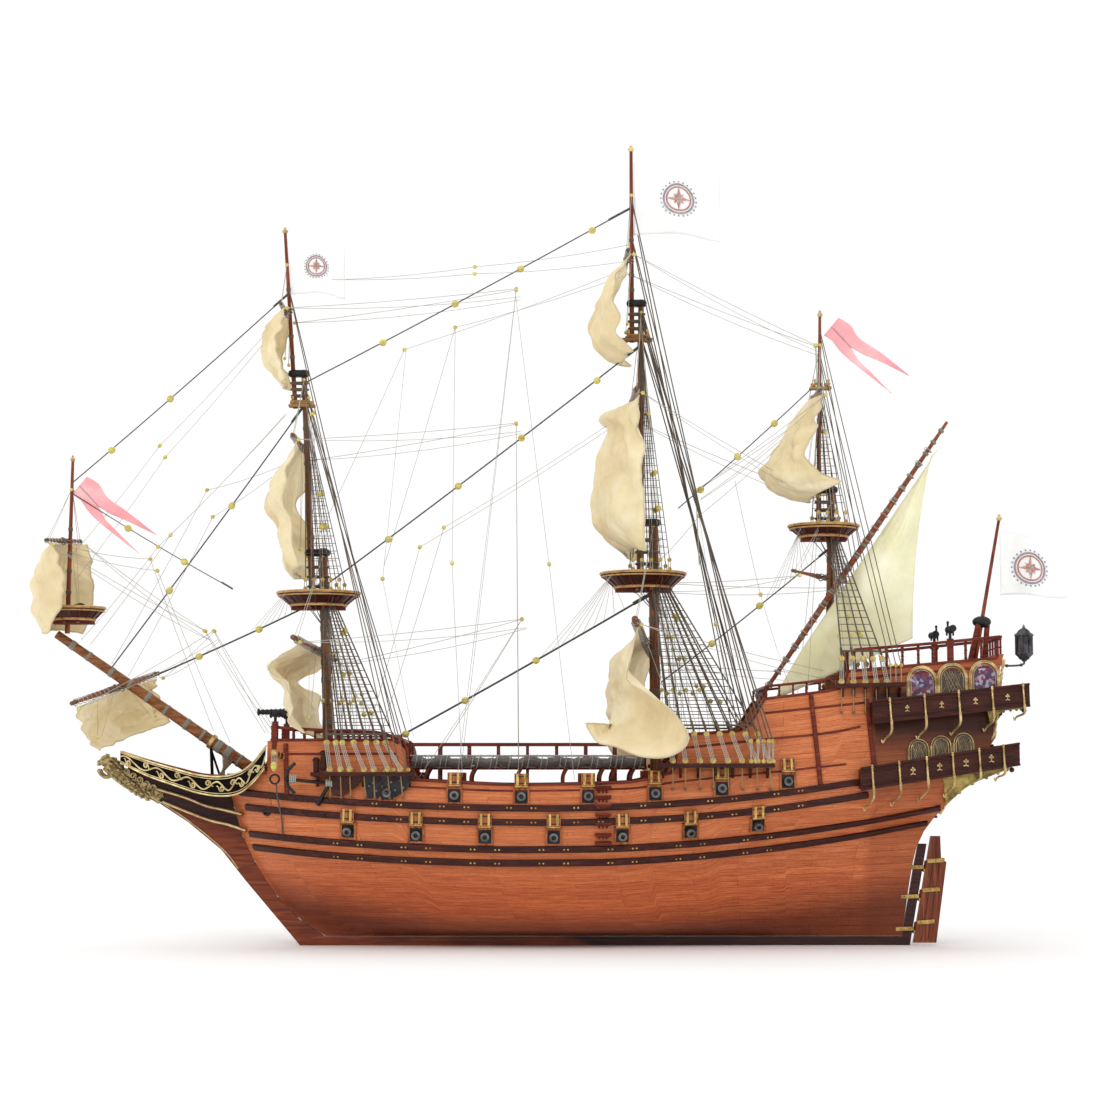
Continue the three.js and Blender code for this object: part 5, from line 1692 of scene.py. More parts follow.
def make_lion():
    """The figurehead: a crouching lion whose leafy mane runs down the knee of the head."""
    shape = Shape()
    spine = through([(-331, 0, 118), (-325, 0, 112.5), (-318, 0, 106.5), (-310, 0, 101.5), (-301, 0, 97.5),
                     (-296, 0, 94.5)], 5)
    count = len(spine)
    shape.tube(spine, [4.6 - 1.9 * (k / count) + 0.5 * math.sin(7 * k / count) for k in range(count)], 12)
    head = Vector((-332, 0, 120.2))
    shape.ball(head, 4.2, 14, scale=(1.05, 0.95, 0.95))
    shape.ball(head + Vector((-3.8, 0, -0.7)), 2.2, 10, scale=(1.1, 0.9, 0.7))
    shape.ball(head + Vector((-4.8, 0, -2.5)), 1.4, 8, scale=(1.2, 0.9, 0.5))
    for side in SIDES:
        shape.ball(head + Vector((-2.6, side * 1.8, 1.3)), 0.7, 6)
        shape.ball(head + Vector((0.8, side * 2.8, 3.8)), 1.1, 8)
        paw = through([(-327, side * 3.2, 113), (-331, side * 3.6, 109.6), (-334.5, side * 3.2, 111.4),
                       (-336, side * 2.4, 113.6)], 4)
        shape.tube(paw, 1.25, 7)
        shape.ball(paw[-1], 1.6, 8)
        # curling leaves in overlapping rows along the body
        for row in range(9):
            centre = spine[int(row * (count - 6) / 9)]
            reach = 4.4 - 0.22 * row
            for turn in (0.2, 0.75, 1.25, 1.8, 2.35):
                way = Vector((0.35 * math.cos(turn), side * math.sin(turn), math.cos(turn)))
                root = centre + way * reach * 0.72
                tip = root + Vector((4.4, side * 0.7 * math.sin(turn), -2.6)) + way * 1.7
                shape.tube([root, root.lerp(tip, 0.45) + way * 1.3, root.lerp(tip, 0.8) + way * 1.4, tip],
                           [1.05, 1.0, 0.7, 0.2], 5)
        scroll(shape, (-297.5, side * 2.6, 99.2), (-1, 0, 0.4), (-0.4, 0, -1), 6.6, radius=0.95)
        scroll(shape, (-306.5, side * 3.2, 103.4), (1, 0, -0.5), (0.5, 0, 1), 4.6, radius=0.8)
        for k in range(6):
            at = Vector((-318 + 4.4 * k, side * 3.4, 113 - 2.6 * k))
            scroll(shape, at, (1, 0, -0.6), (0.6, 0, 1), 3.4, radius=0.62)
    make_piece("figurehead_lion", shape, [AGED_GILT], stands_for=["figurehead"])


def stem_wood():
    """The keel's wood, darkening to near black above the lower cheek of the head."""
    look = Look("stem_wood", Specular_IOR_Level=0.28)
    streaks = look.noise(grain_scale("x"), detail=7, distortion=0.6)
    plain = look.ramp(streaks, [(0.3, rgb(74, 26, 10)), (0.52, rgb(116, 50, 24)), (0.75, rgb(152, 76, 40))])
    dark = look.ramp(streaks, [(0.3, rgb(30, 12, 10)), (0.52, rgb(54, 22, 17)), (0.75, rgb(80, 38, 30))])
    split = look.node("ShaderNodeSeparateXYZ")
    look.link(look.coordinates((325, 0, 1000)), split.inputs[0])
    height = look.node("ShaderNodeMath", operation="ADD")
    look.link(split.outputs[0], height.inputs[0])
    look.link(split.outputs[2], height.inputs[1])
    share = look.spread(height.outputs[0], 0.0, 1.0, -5.0, -2.0)
    return look.finish(look.mix(plain, dark, share), look.spread(streaks, 0.4, 0.56))


OLIVE_GILT = metal("olive_gilding", (92, 78, 36), (184, 160, 90), rough=(0.36, 0.5), level=0.6)
GILT_BRIGHT = metal("bright_gilding", (176, 150, 96), (238, 220, 168), rough=(0.3, 0.42), level=0.55)
AGED_GILT = metal("aged_gilding", (84, 66, 38), (204, 180, 126), rough=(0.36, 0.54), level=0.55, size=420,
                  bump=0.5)
BLACK_PAINT = wood("black_paint", (8, 5, 5), (15, 9, 9), (26, 17, 17), rough=(0.5, 0.62), coat=0.0)
KEEL_WOOD = wood("keel_wood", (84, 32, 16), (128, 58, 34), (162, 88, 54))
RUDDER_WOOD = wood("rudder_wood", (76, 32, 18), (126, 64, 40), (168, 98, 66), axis="z")
dress(stem_wood(), "keel")
BLACK_PAINT.node_tree.nodes["Principled BSDF"].inputs["Specular IOR Level"].default_value = 0.06
dress(RUDDER_WOOD, "rudder")
make_galleries()
make_lantern()
make_rudder_irons()
make_head()


# ---- Decks and sides: channels, rails, netting, hatches, anchors, swivel guns -----------------------
def balusters(shape, path, drop, every, size=1.0, slot=0):
    """Squared uprights hanging from a rail path."""
    travel, wait = 0.0, 0.0
    for a, b in zip(path, path[1:]):
        span = (b - a).length
        while wait <= travel + span:
            at = a.lerp(b, (wait - travel) / span)
            foot = at - Vector((0, 0, drop))
            shape.bar(foot, at, size * 1.3, size * 1.3, up=(1, 0, 0), slot=slot)
            for share in (0.12, 0.5, 0.88):
                shape.lathe(foot.lerp(at, share) - Vector((0, 0, 0.35)), (0, 0, 1),
                            [(0, size * 0.8), (0.35, size * 1.15), (0.7, size * 0.8)], sides=6, slot=slot)
            wait += every
        travel += span


def side_rail(shape, points, side, wide=2.6, high=1.9, inset=1.6, slot=0):
    path = [Vector((x, side * (hull_y(x, min(z, SHEER(x))) - inset), z)) for x, z in hull_line(points, 7)]
    shape.mould(path, wide, high, [(0, 0, 1)] * len(path), slot)
    return path


def make_deck_rails():
    shape = Shape()
    for side in SIDES:
        fore = side_rail(shape, [(-219, 141.8), (-197, 140.4), (-176, 139.2), (-150, 138.4), (-137, 134)],
                         side)
        balusters(shape, fore, 8.4, 7.4)
        poop = side_rail(shape, [(157.6, 191.8), (206, 196), (254, 200.9)], side)
        balusters(shape, poop, 13.4, 10.6, 1.15)
        waist = side_rail(shape, [(99.2, 168), (120, 170), (148, 174)], side, 2.2, 1.6)
        balusters(shape, waist, 7.5, 9.0, 0.9)
    for x, z, half, drop in ((254.5, 200.9, 27, 13.4), (-135.5, 133.2, 38, 6.8), (100.5, 167.8, 34, 15),
                             (154, 191, 31, 20)):
        rail = [Vector((x, y, z)) for y in spaced(-half, half, 9)]
        shape.mould(rail, 2.4, 1.8, [(0, 0, 1)] * 9)
        balusters(shape, rail, drop, 9.0, 1.0)
    make_piece("deck_rails", shape, [RAIL])


def plate_out(z):
    """How far outside the planking the plates below the fore channel lie."""
    return 0.4 + 6.0 * (z - 96) / 16


CHANNELS = {"fore": (-192, -125, 112.5), "main": (28, 103, 118)}


def make_channel_gear():
    wood_shape, black, studs = Shape(), Shape(), Shape()
    for side in SIDES:
        for x0, x1, top in CHANNELS.values():
            edge = [Vector((x, side * (hull_y(x, top) + 9.9), top - 1)) for x in spaced(x0, x1, 14)]
            wood_shape.mould(edge, 1.0, 2.6, [(0, 0, 1)] * 14)
            for x in spaced(x0 + 4, x1 - 4, 7):
                root, _ = on_hull(x, top - 9, side, 0.5)
                out = Vector((x, side * (hull_y(x, top) + 8.5), top - 2.6))
                under = Vector((x, side * (hull_y(x, top) + 0.6), top - 2.6))
                wood_shape.plate([root, root.lerp(out, 0.5) + Vector((0, 0, -1.0)), out, under], (1, 0, 0),
                                 1.5)
        # dark web and studded iron plate beneath the after end of the fore channel
        for a, b, low, high, shape in ((-181, -158.5, 97.5, 110, wood_shape),
                                       (-158.5, -126.5, 95.8, 110.2, black)):
            outer = [(a, high), (b, high), (b - 4, low + 6), (b - 13, low), (a + 3, low + 0.5)]
            face = [Vector((x, side * (hull_y(x, z) + plate_out(z)), z)) for x, z in outer]
            shape.plate(face, (0, 1, 0), 1.6)
        for x, z in ((-152, 106), (-146, 104), (-140.5, 106.5), (-135, 107.5), (-150, 101), (-144, 99.6),
                     (-138, 101.4), (-133, 103), (-154.5, 104)):
            at = Vector((x, side * (hull_y(x, z) + plate_out(z) + 0.7), z))
            studs.lathe(at, (0, side, 0), [(0, 0.8), (0.6, 0.7), (0.9, 0.2)], sides=8)
        studs.tube([Vector((-144 + 2.1 * math.cos(a), side * (hull_y(-144, 103) + plate_out(103.4) + 0.9),
                            103.4 + 2.1 * math.sin(a))) for a in spaced(0, 5.7, 12)], 0.32, 5, closed=True)
        # mizzen channel
        shelf = [Vector((x, side * (hull_y(x, 169) + 2.6), 168.4 + (x - 146) * 0.03))
                 for x in spaced(145, 190, 9)]
        wood_shape.mould(shelf, 7.6, 1.7, [(0, 0, 1)] * 9)
        lip = [p + Vector((0, side * 4.0, -0.4)) for p in shelf]
        wood_shape.mould(lip, 0.9, 2.8, [(0, 0, 1)] * 9)
        for x in spaced(149, 186, 6):
            root, _ = on_hull(x, 161, side, 0.5)
            wood_shape.plate([root, Vector((x, side * (hull_y(x, 169) + 5.4), 167.2)),
                              Vector((x, side * hull_y(x, 167), 167.2))], (1, 0, 0), 1.4)
        # knightheads and timber heads standing above the fore channel
        for x, z in ((-184, 120), (-188.5, 115.5)):
            foot, _ = on_hull(x, z - 6, side, 2.2)
            wood_shape.bar(foot, foot + Vector((0, side * 0.4, 10)), 3.4, 3.4, up=(1, 0, 0))
            wood_shape.lathe(foot + Vector((0, side * 0.4, 9)), (0, 0, 1),
                             [(0, 1.2), (0.8, 2.2), (2.2, 2.5), (3.2, 1.5), (3.5, 0.3)], sides=10)
    make_piece("channel_timbers", wood_shape, [WALE])
    make_piece("channel_plates", black, [BLACK])
    make_piece("channel_studs", studs, [STEEL])


def make_netting():
    """Rolled hammocks lashed outboard of the gangway rails, and the curved legs below."""
    rolls, lashing, legs = Shape(), Shape(), Shape()
    for side in SIDES:
        y = side * 18.6
        xs = spaced(-129, 21, 76)
        path = [Vector((x, y + 0.5 * math.sin(x * 0.9),
                        119.4 + 0.7 * math.sin(x * 0.33) + 0.35 * math.sin(x * 1.1))) for x in xs]
        rolls.tube(path, [3.3 + 0.75 * abs(math.sin(x * 0.21)) + 0.2 * math.sin(x * 1.7) for x in xs], 10,
                   squash=0.82)
        lashing.tube([(x, y - side * 2.4, 116.2) for x in spaced(-131, 22, 12)], 0.5, 5)
        lashing.tube([(x, y - side * 1.2, 123.6) for x in spaced(-131, 22, 12)], 0.5, 5)
        x = -128.0
        while x < 19:
            ring = [Vector((x + 2.6 * t, y + 4.3 * math.cos(math.pi * (t - 0.5)) * side,
                            119.6 + 4.5 * math.sin(math.pi * (t - 0.5)))) for t in spaced(0, 1, 8)]
            lashing.tube(ring, 0.26, 4)
            x += 3.7 if int(x) % 3 else 8.5
        for x in (-118, -88, -58, -28, -4, 4, 16):
            foot = Vector((x - 3, y + side * 1.2, 105.5))
            curve = through([foot, foot + Vector((0.2, 0, 5)), foot + Vector((2.4, -side * 0.6, 9.6)),
                             foot + Vector((4.2, -side * 1.4, 11))], 4)
            legs.mould(curve, 1.7, 2.2, [(1, 0, 0)] * len(curve))
        for x in spaced(-120, 12, 12):
            legs.bar((x, side * 14.8, 115.4), (x, side * 19.4, 115.4), 1.4, 1.4)
    make_piece("hammock_rolls", rolls, [NET])
    make_piece("hammock_lashing", lashing, [ROPE_PALE])
    make_piece("gangway_knees", legs, [RAIL])


def grating(shape, x0, x1, y0, y1, z):
    for a, b in (((x0, y0), (x1, y0)), ((x0, y1), (x1, y1)), ((x0, y0), (x0, y1)), ((x1, y0), (x1, y1))):
        shape.bar((a[0], a[1], z + 0.9), (b[0], b[1], z + 0.9), 1.6, 2.0)
    for x in spaced(x0 + 1.8, x1 - 1.8, max(int((x1 - x0) / 2.6), 3)):
        shape.bar((x, y0, z + 0.8), (x, y1, z + 0.8), 0.8, 0.9, slot=1)
    for y in spaced(y0 + 1.8, y1 - 1.8, max(int((y1 - y0) / 2.6), 3)):
        shape.bar((x0, y, z + 1.2), (x1, y, z + 1.2), 0.8, 0.8, slot=1)


def door(shape, x, y, z, way, wide=8.0, tall=14.0):
    """A panelled door on a wall across the ship; way is +1 when it faces aft."""
    shape.bar((x + way * 0.5, y, z), (x + way * 0.5, y, z + tall), wide, 0.8, up=(1, 0, 0), slot=0)
    for dy in (-wide / 2, wide / 2):
        shape.bar((x + way * 0.9, y + dy, z), (x + way * 0.9, y + dy, z + tall), 1.0, 1.2, up=(1, 0, 0),
                  slot=1)
    shape.bar((x + way * 0.9, y - wide / 2 - 0.6, z + tall), (x + way * 0.9, y + wide / 2 + 0.6, z + tall),
              1.2, 1.2, slot=1)
    for dz in (0.28, 0.72):
        for dy in (-0.24, 0.24):
            shape.bar((x + way * 1.1, y + dy * wide, z + tall * (dz - 0.16)),
                      (x + way * 1.1, y + dy * wide, z + tall * (dz + 0.16)), wide * 0.3, 0.5, up=(1, 0, 0),
                      slot=0)
    shape.ball((x + way * 1.5, y + wide * 0.4, z + tall * 0.5), 0.6, 6, slot=2)


def stair(shape, foot, head, wide, steps):
    foot, head = Vector(foot), Vector(head)
    for dy in (-wide / 2, wide / 2):
        shape.bar(foot + Vector((0, dy, 0)), head + Vector((0, dy, 0)), 1.0, 2.4, slot=1)
    for k in range(1, steps + 1):
        at = foot.lerp(head, k / (steps + 1))
        shape.bar(at - Vector((0, wide / 2, 0)), at + Vector((0, wide / 2, 0)), 2.8, 0.7, slot=0)


def make_deck_gear():
    shape = Shape()
    grating(shape, -112, -84, -9, 9, 92.4)
    grating(shape, -46, -12, -9, 9, 92.4)
    grating(shape, -166, -150, -10, 10, 118.4)
    grating(shape, 62, 84, -9, 9, 124.4)
    grating(shape, 112, 126, -7, 7, 150.4)
    grating(shape, 196, 218, -8, 8, 168.4)
    for x, z, way, ys in ((-133.4, 92.4, 1, (-24, 24)), (41.4, 92.4, -1, (-26, 26)),
                          (98.4, 124.4, -1, (-20, 20)), (151.4, 150.4, -1, (-18, 18))):
        for y in ys:
            door(shape, x, y, z, way)
    for side in SIDES:
        stair(shape, (22, side * 36, 93), (40, side * 36, 123), 9, 7)
        stair(shape, (-114, side * 37, 93), (-131, side * 37, 117), 9, 6)
        stair(shape, (84, side * 29, 125), (98, side * 29, 149), 8, 6)
        stair(shape, (139, side * 24, 151), (151, side * 24, 167), 8, 4)
    # belfry on the forecastle, capstan on the quarterdeck, bitts on the head of the waist
    for y in (-5, 5):
        shape.bar((-140, y, 118.4), (-140, y, 134), 2.2, 2.2, up=(1, 0, 0), slot=1)
    shape.mould([Vector((-140, y, 134 + 3.0 * (1 - (y / 7) ** 2))) for y in spaced(-7, 7, 9)], 5, 1.2,
                [(0, 0, 1)] * 9, slot=1)
    shape.lathe((-140, 0, 134.5), (0, 0, -1), [(0, 0.7), (0.8, 1.8), (3.6, 2.2), (5.4, 3.4), (5.8, 3.1)],
                sides=14, slot=2)
    shape.lathe((76, 0, 124.4), (0, 0, 1),
                [(0, 6), (1.5, 6), (2, 3.6), (8, 3.0), (9, 5.2), (12, 5.4), (12.6, 3)], sides=14, slot=1)
    for k in range(6):
        a = math.pi / 3 * k
        shape.bar((76, 0, 134.8), (76 + 11 * math.cos(a), 11 * math.sin(a), 134.8), 1.0, 1.0, slot=0)
    for x in (-127, 14):
        for y in (-8, 8):
            shape.bar((x, y, 92.4), (x, y, 104), 2.2, 2.2, up=(1, 0, 0), slot=1)
        shape.bar((x, -11, 101.5), (x, 11, 101.5), 1.8, 1.8, slot=1)
        for y in spaced(-9, 9, 5):
            shape.lathe((x, y, 99), (0, 0, 1), [(0, 0.4), (2.2, 0.55), (4.4, 0.8), (5.2, 0.5)], sides=6,
                        slot=0)
    make_piece("deck_fittings", shape, [TAN, RAIL, BRASS])


def make_anchor_gear():
    """Catheads, anchor rings, cables, and lashings that hold the anchors to the channels."""
    timber, iron, rope = Shape(), Shape(), Shape()
    for side in SIDES:
        root, tip = Vector((-208, side * 33, 121)), Vector((-216, side * 51, 125))
        timber.bar(root, tip, 3.6, 3.6)
        for t in (0.5, 0.75, 0.92):
            at = root.lerp(tip, t)
            timber.lathe(at - (tip - root).normalized() * 0.5, tip - root, [(0, 2.5), (0.5, 2.8), (1.0, 2.5)],
                         sides=4, slot=1)
        timber.ball(tip, 2.5, 10, slot=1)
        hang = tip + Vector((0, -side * 1, -7))
        for dx in (-1.4, 0, 1.4):
            line(rope, tip + Vector((dx, -side * 1, -1)), hang + Vector((dx, 0, 1)), 0.42)
        timber.lathe(hang + Vector((0, 0, 1.5)), (0, 0, -1),
                     [(0, 0.8), (1.2, 2.1), (3, 2.4), (4.6, 1.9), (6, 0.7)], sides=10, slot=2)
        ring = hang + Vector((0.5, side * 0.5, -9.6))
        iron.tube([ring + Vector((2.9 * math.cos(a), 0, 2.9 * math.sin(a))) for a in spaced(0, 5.9, 16)],
                  0.75, 6, closed=True)
        for x, z in ((-205, 108.6), (-182, 106)):
            for k in range(4):
                at = Vector((x + 1.1 * k, side * 55, z))
                rope.tube([at + Vector((0, 2.4 * math.cos(a), 2.4 * math.sin(a)))
                           for a in spaced(0, 5.7, 10)], 0.5, 5, closed=True)
        cable = through([ring + Vector((1, 0, -2.6)), ring + Vector((1.5, -side * 3, -11)),
                         (-212, side * (hull_y(-212, 84) + 1.6), 84),
                         (-211.5, side * (hull_y(-211.5, 70) + 1.6), 70)], 6)
        rope.tube(cable, 0.5, 6, slot=1)
        hawse, normal = on_hull(-222, 88, side, 0.2)
        iron.lathe(hawse, normal, [(-1, 3.0), (0.6, 3.4), (1.2, 3.0), (1.3, 2.0), (0.2, 1.8)], sides=14)
        for k, z in ((0, 92.5), (1, 85.5)):
            at, _ = on_hull(-186 + 3 * k, z, side, 2.6)
            iron.ball(at, 1.2, 8)
    # struts from the head to the bowsprit
    timber.bar((-262, 0, 110.5), (-263, 0, 130.5), 2.0, 2.0, up=(1, 0, 0), slot=3)
    timber.bar((-257, 0, 110.5), (-262.4, 0, 126), 1.4, 1.4, up=(1, 0, 0), slot=3)
    make_piece("cathead_timbers", timber, [RAIL, GOLD, BOX, BLACK_PAINT])
    make_piece("anchor_rings", iron, [BLACK])
    make_piece("anchor_lashings", rope, [LANYARD, ROPE_DARK])


def make_swivel_gear():
    """Rings, sights and tiller of each swivel gun, riding on the gun, and the crutch plate on its post."""
    plates = Shape()
    for body, x, y, z, turn in (("bow_gun_port", -217, -36.5, 145, 0),
                                ("bow_gun_starboard", -217, 36.5, 145, 0),
                                ("poop_gun_port", 221, -31, 199, math.pi / 2),
                                ("poop_gun_starboard", 221, 31, 199, -math.pi / 2)):
        ahead, gun = Shape(), Shape()
        axis = 6.5
        for dx, radius in ((-11.3, 2.4), (-8.6, 2.0), (-6.0, 2.0), (-3.2, 2.15), (-0.4, 2.25), (2.6, 2.35),
                           (5.0, 2.5)):
            ahead.lathe((dx, 0, axis), (1, 0, 0),
                        [(0, radius * 0.85), (0.3, radius), (0.8, radius), (1.1, radius * 0.85)], sides=14)
        ahead.lathe((-11.6, 0, axis), (1, 0, 0), [(0, 0.9), (0.05, 1.9), (1.4, 2.3)], sides=14)
        ahead.tube(through([(6, 0, axis), (7.6, 0, axis + 1.2), (8.6, 0, axis + 2.8), (8.2, 0, axis + 4.6)],
                           4), 0.7, 7)
        ahead.ball((8.2, 0, axis + 5), 1.0, 8)
        for dy in (-2.1, 2.1):
            ahead.bar((0.4, dy, 2.4), (0.4, dy, axis + 0.6), 1.2, 1.0, up=(1, 0, 0))
            ahead.lathe((0.4, dy, axis), (0, math.copysign(1, dy), 0), [(0, 1.0), (0.8, 0.9), (1.0, 0.3)],
                        sides=8)
        gun.stamp(ahead, Matrix.Translation((x, y, z)) @ Matrix.Rotation(turn, 4, "Z"))
        make_piece(body + "_fittings", gun, [BLACK], body=body)
        plates.lathe((x, y, z + 0.1), (0, 0, 1), [(0, 2.6), (0.25, 2.6), (0.4, 1.7)], sides=10)
    make_piece("swivel_plates", plates, [BLACK])


make_deck_rails()
make_channel_gear()
make_netting()
make_deck_gear()
make_anchor_gear()
make_swivel_gear()


# ---- Masts: caps, woolding, crosstrees, trucks, top mouldings, yard fittings -------------------------
def cap_block(shape, a, b, ra, rb, thick, z, slot=0):
    """A cap that clasps two spars: a rounded plate with a swelling round each."""
    a, b = Vector((a.x, a.y, z)), Vector((b.x, b.y, z))
    way = (b - a).normalized()
    start = math.atan2(way.y, way.x)
    def ring(grow, lift):
        rim = [a + Vector((math.cos(start + t), math.sin(start + t), 0)) * (ra + grow)
               for t in spaced(math.pi * 0.5, math.pi * 1.5, 8)]
        rim += [b + Vector((math.cos(start + t), math.sin(start + t), 0)) * (rb + grow)
                for t in spaced(-math.pi * 0.5, math.pi * 0.5, 8)]
        return [p + Vector((0, 0, lift)) for p in rim]
    shape.rows([ring(0.7, -thick / 2), ring(1.7, -thick / 3), ring(2.1, 0), ring(1.7, thick / 3),
                ring(0.7, thick / 2)], slot)


DOUBLINGS = [
    # lower spar, upper spar, cap height, foot of the upper spar
    ("foremast", "fore_topmast", 258.1, 226), ("fore_topmast", "fore_topgallant_mast", 378.5, 357),
    ("mainmast", "main_topmast", 278.4, 239), ("main_topmast", "main_topgallant_mast", 426.5, 402),
    ("mizzenmast", "mizzen_topmast", 300.5, 273),
]
WOOLDINGS = {
    "foremast": (132, 146, 160, 174, 186, 208, 218), "mainmast": (138, 152, 166, 180, 192, 214, 226),
    "mizzenmast": (182, 198, 214, 230, 254, 264), "fore_topmast": (268, 286, 304, 318, 342),
             "main_topmast": (290, 310, 330, 346, 372, 388),
    "mizzen_topmast": (312, 330, 348, 372, 388), "fore_topgallant_mast": (390, 404, 436),
             "main_topgallant_mast": (436, 446, 470),
    "sprit_topmast": (232, 246, 258, 274),
}


def woolding(shape, at, way, radius, turns=4, cord=0.4, slot=0):
    """Several close turns of cord round a spar."""
    way = Vector(way).normalized()
    profile = [(-cord, radius * 0.98)]
    for k in range(turns):
        profile += [(k * 2 * cord, radius + cord * 1.1), (k * 2 * cord + cord, radius + cord * 0.55)]
    profile.append((turns * 2 * cord, radius * 0.98))
    shape.lathe(Vector(at) - way * (turns * cord), way, profile, sides=14, slot=slot)


def make_mast_gear():
    caps, cords, gilt, timber = Shape(), Shape(), Shape(), Shape()
    for lower, upper, z, foot in DOUBLINGS:
        cap_block(caps, at_height(lower, z), at_height(upper, z), spar_radius(lower, z),
                  spar_radius(upper, z), 4.6, z)
        base = foot + 2
        cap_block(timber, at_height(lower, base), at_height(upper, base), spar_radius(lower, base),
                  spar_radius(upper, base), 3.0, base)
        for share in (0.3, 0.5, 0.7):
            height = foot + (z - foot) * share
            a, b = at_height(lower, height), at_height(upper, height)
            cap_block(cords, a, b, spar_radius(lower, height) - 0.8, spar_radius(upper, height) - 0.8, 2.0,
                      height)
    for x, z, half in ((-205.2, 356.7, 11), (19, 401.7, 13), (141.8, 369, 9)):
        for dy in (-2.6, 2.6):
            timber.bar((x - half * 0.8, dy, z), (x + half * 0.8, dy, z), 1.5, 1.9)
        for dx in (-half * 0.5, half * 0.5):
            timber.bar((x + dx, -half, z + 1.5), (x + dx, half, z + 1.5), 1.5, 1.4)
            for s in SIDES:
                timber.lathe((x + dx, s * half, z + 1.5), (0, s, 0), [(0, 0.9), (0.8, 1.2), (1.4, 0.4)],
                             sides=8)
                deadeye((x + dx, s * (half - 0.6), z + 4), (0, s, 0), 1.1)
    for mast, heights in WOOLDINGS.items():
        for z in heights:
            woolding(cords, at_height(mast, z), (0, 0, 1), spar_radius(mast, z), 3 if mast.endswith("mast")
                     and "_" in mast else 5)
    foot, head, low, high = SPARS["bowsprit"]
    foot, head = Vector(foot), Vector(head)
    for share, turns in ((0.13, 5), (0.2, 3), (0.25, 7), (0.29, 7), (0.36, 3), (0.43, 5), (0.52, 3), (0.6, 5),
                         (0.68, 4), (0.76, 5), (0.86, 4), (0.93, 6)):
        woolding(cords, foot.lerp(head, share), head - foot, low + (high - low) * share, max(turns - 2, 2),
                 0.42, slot=1)
    collar = foot.lerp(head, 0.31)
    gilt.lathe(collar, head - foot, [(0, 4.6), (0.6, 5.1), (2.6, 5.1), (3.2, 4.6)], sides=16)
    for k in range(6):
        a = foot.lerp(head, 0.22 + 0.01 * k)
        for s in SIDES:
            line(cords, a + Vector((0, s * 3.4, -1)), (-262 + 1.6 * k, s * 2.2, 106), 0.45)
    for mast, z, size in (("main_topgallant_mast", 532, 1.9), ("fore_topgallant_mast", 475.4, 1.8),
                          ("mizzen_topmast", 419, 1.7), ("sprit_topmast", 320.5, 1.5),
                          ("ensign_staff", 281.4, 1.7)):
        at = at_height(mast, z)
        gilt.lathe(at, (0, 0, 1),
                   [(-1.4, 1.3), (-0.9, size), (0.2, size * 1.15), (0.9, size * 0.9), (1.4, size * 0.45),
                    (2.2, size * 0.6), (3.0, 0.2)], sides=14)
    staff = at_height("ensign_staff", 212.3)
    caps.ball(staff + Vector((0, 0, 0)), 6.4, 14, scale=(1, 0.6, 0.62))
    for dx in (-3.2, 3.2):
        timber.bar((241.5 + dx * 2.0, dx * 0.6, 168.5), (248.2 + dx, dx * 0.4, 211), 3.2, 3.4, up=(1, 0, 0),
                   slot=1)
    caps.lathe((-352.5, 0, 221.6), (-0.3, 0, 1), [(-3, 4.2), (-2, 5.0), (1, 5.0), (2.2, 3.4)], sides=14)
    for top, (x, z, rim, depth) in TOPS.items():
        floor = rim * 0.66
        rounds = [2 * math.pi * k / 40 for k in range(40)]
        for radius, height, thick in ((rim + 0.3, z + 0.1, 0.95), (rim - 0.4, z - 1.9, 0.6),
                                      (floor + 0.9, z - depth + 2.6, 0.7),
                                      (floor + 0.5, z - depth + 0.5, 1.1)):
            ring = [Vector((x + radius * math.cos(a), radius * math.sin(a), height)) for a in rounds]
            timber.tube(ring, thick, 6, slot=2, closed=True)
        for k in range(16):
            a = 2 * math.pi * k / 16
            way = Vector((math.cos(a), math.sin(a), 0))
            timber.bar(Vector((x, 0, z - depth)) + way * (floor + 0.3),
                       Vector((x, 0, z - 1)) + way * (rim + 0.2), 0.6, 0.5, slot=1)
            timber.bar(Vector((x, 0, z + 0.7)) + way * (rim - 2.2),
                       Vector((x, 0, z + 0.7)) + way * (rim + 0.6), 0.8, 0.5, slot=2)
        for dy in (-3.6, 3.6):
            timber.bar((x - floor, dy, z - depth - 1.4), (x + floor, dy, z - depth - 1.4), 1.7, 2.4, slot=1)
        for dx in (-4.6, 4.6):
            timber.bar((x + dx, -floor, z - depth - 1.0), (x + dx, floor, z - depth - 1.0), 1.6, 1.8, slot=1)
    for name, ((x, y, z), half, radius, swing, tip) in YARDS.items():
        way = yard_point(name, 1) - yard_point(name, -1)
        for share in (-0.97, -0.9, -0.3, 0.3, 0.9, 0.97):
            woolding(cords, yard_point(name, share), way, radius * (1 - 0.35 * abs(share)), 3, 0.3)
        for share in (-0.13, 0.13):
            woolding(cords, yard_point(name, share), way, radius, 6, 0.45)
        hold = yard_point(name, 0)
        ring = [hold + Vector((1.6 + (radius + 2.2) * math.cos(a), (radius + 1.6) * math.sin(a),
                               1.2 * math.sin(2 * a))) for a in spaced(0, 5.6, 12)]
        for lift in (-1.1, 0.9):
            cords.tube([p + Vector((0, 0, lift)) for p in ring], 0.4, 5, closed=True)
    low, high, radius = Vector(LATEEN[0]), Vector(LATEEN[1]), LATEEN[2]
    for share in spaced(0.06, 0.97, 24):
        woolding(cords, low.lerp(high, share), high - low, radius * (1 - 0.25 * abs(share - 0.5)), 3, 0.26,
                 slot=1)
    make_piece("mast_caps", caps, [BLACK])
    make_piece("woolding", cords, [WOOLDING, LANYARD])
    make_piece("gilt_trucks", gilt, [GOLD])
    make_piece("mast_timbers", timber, [TAN, RAIL, TOP_RIM])


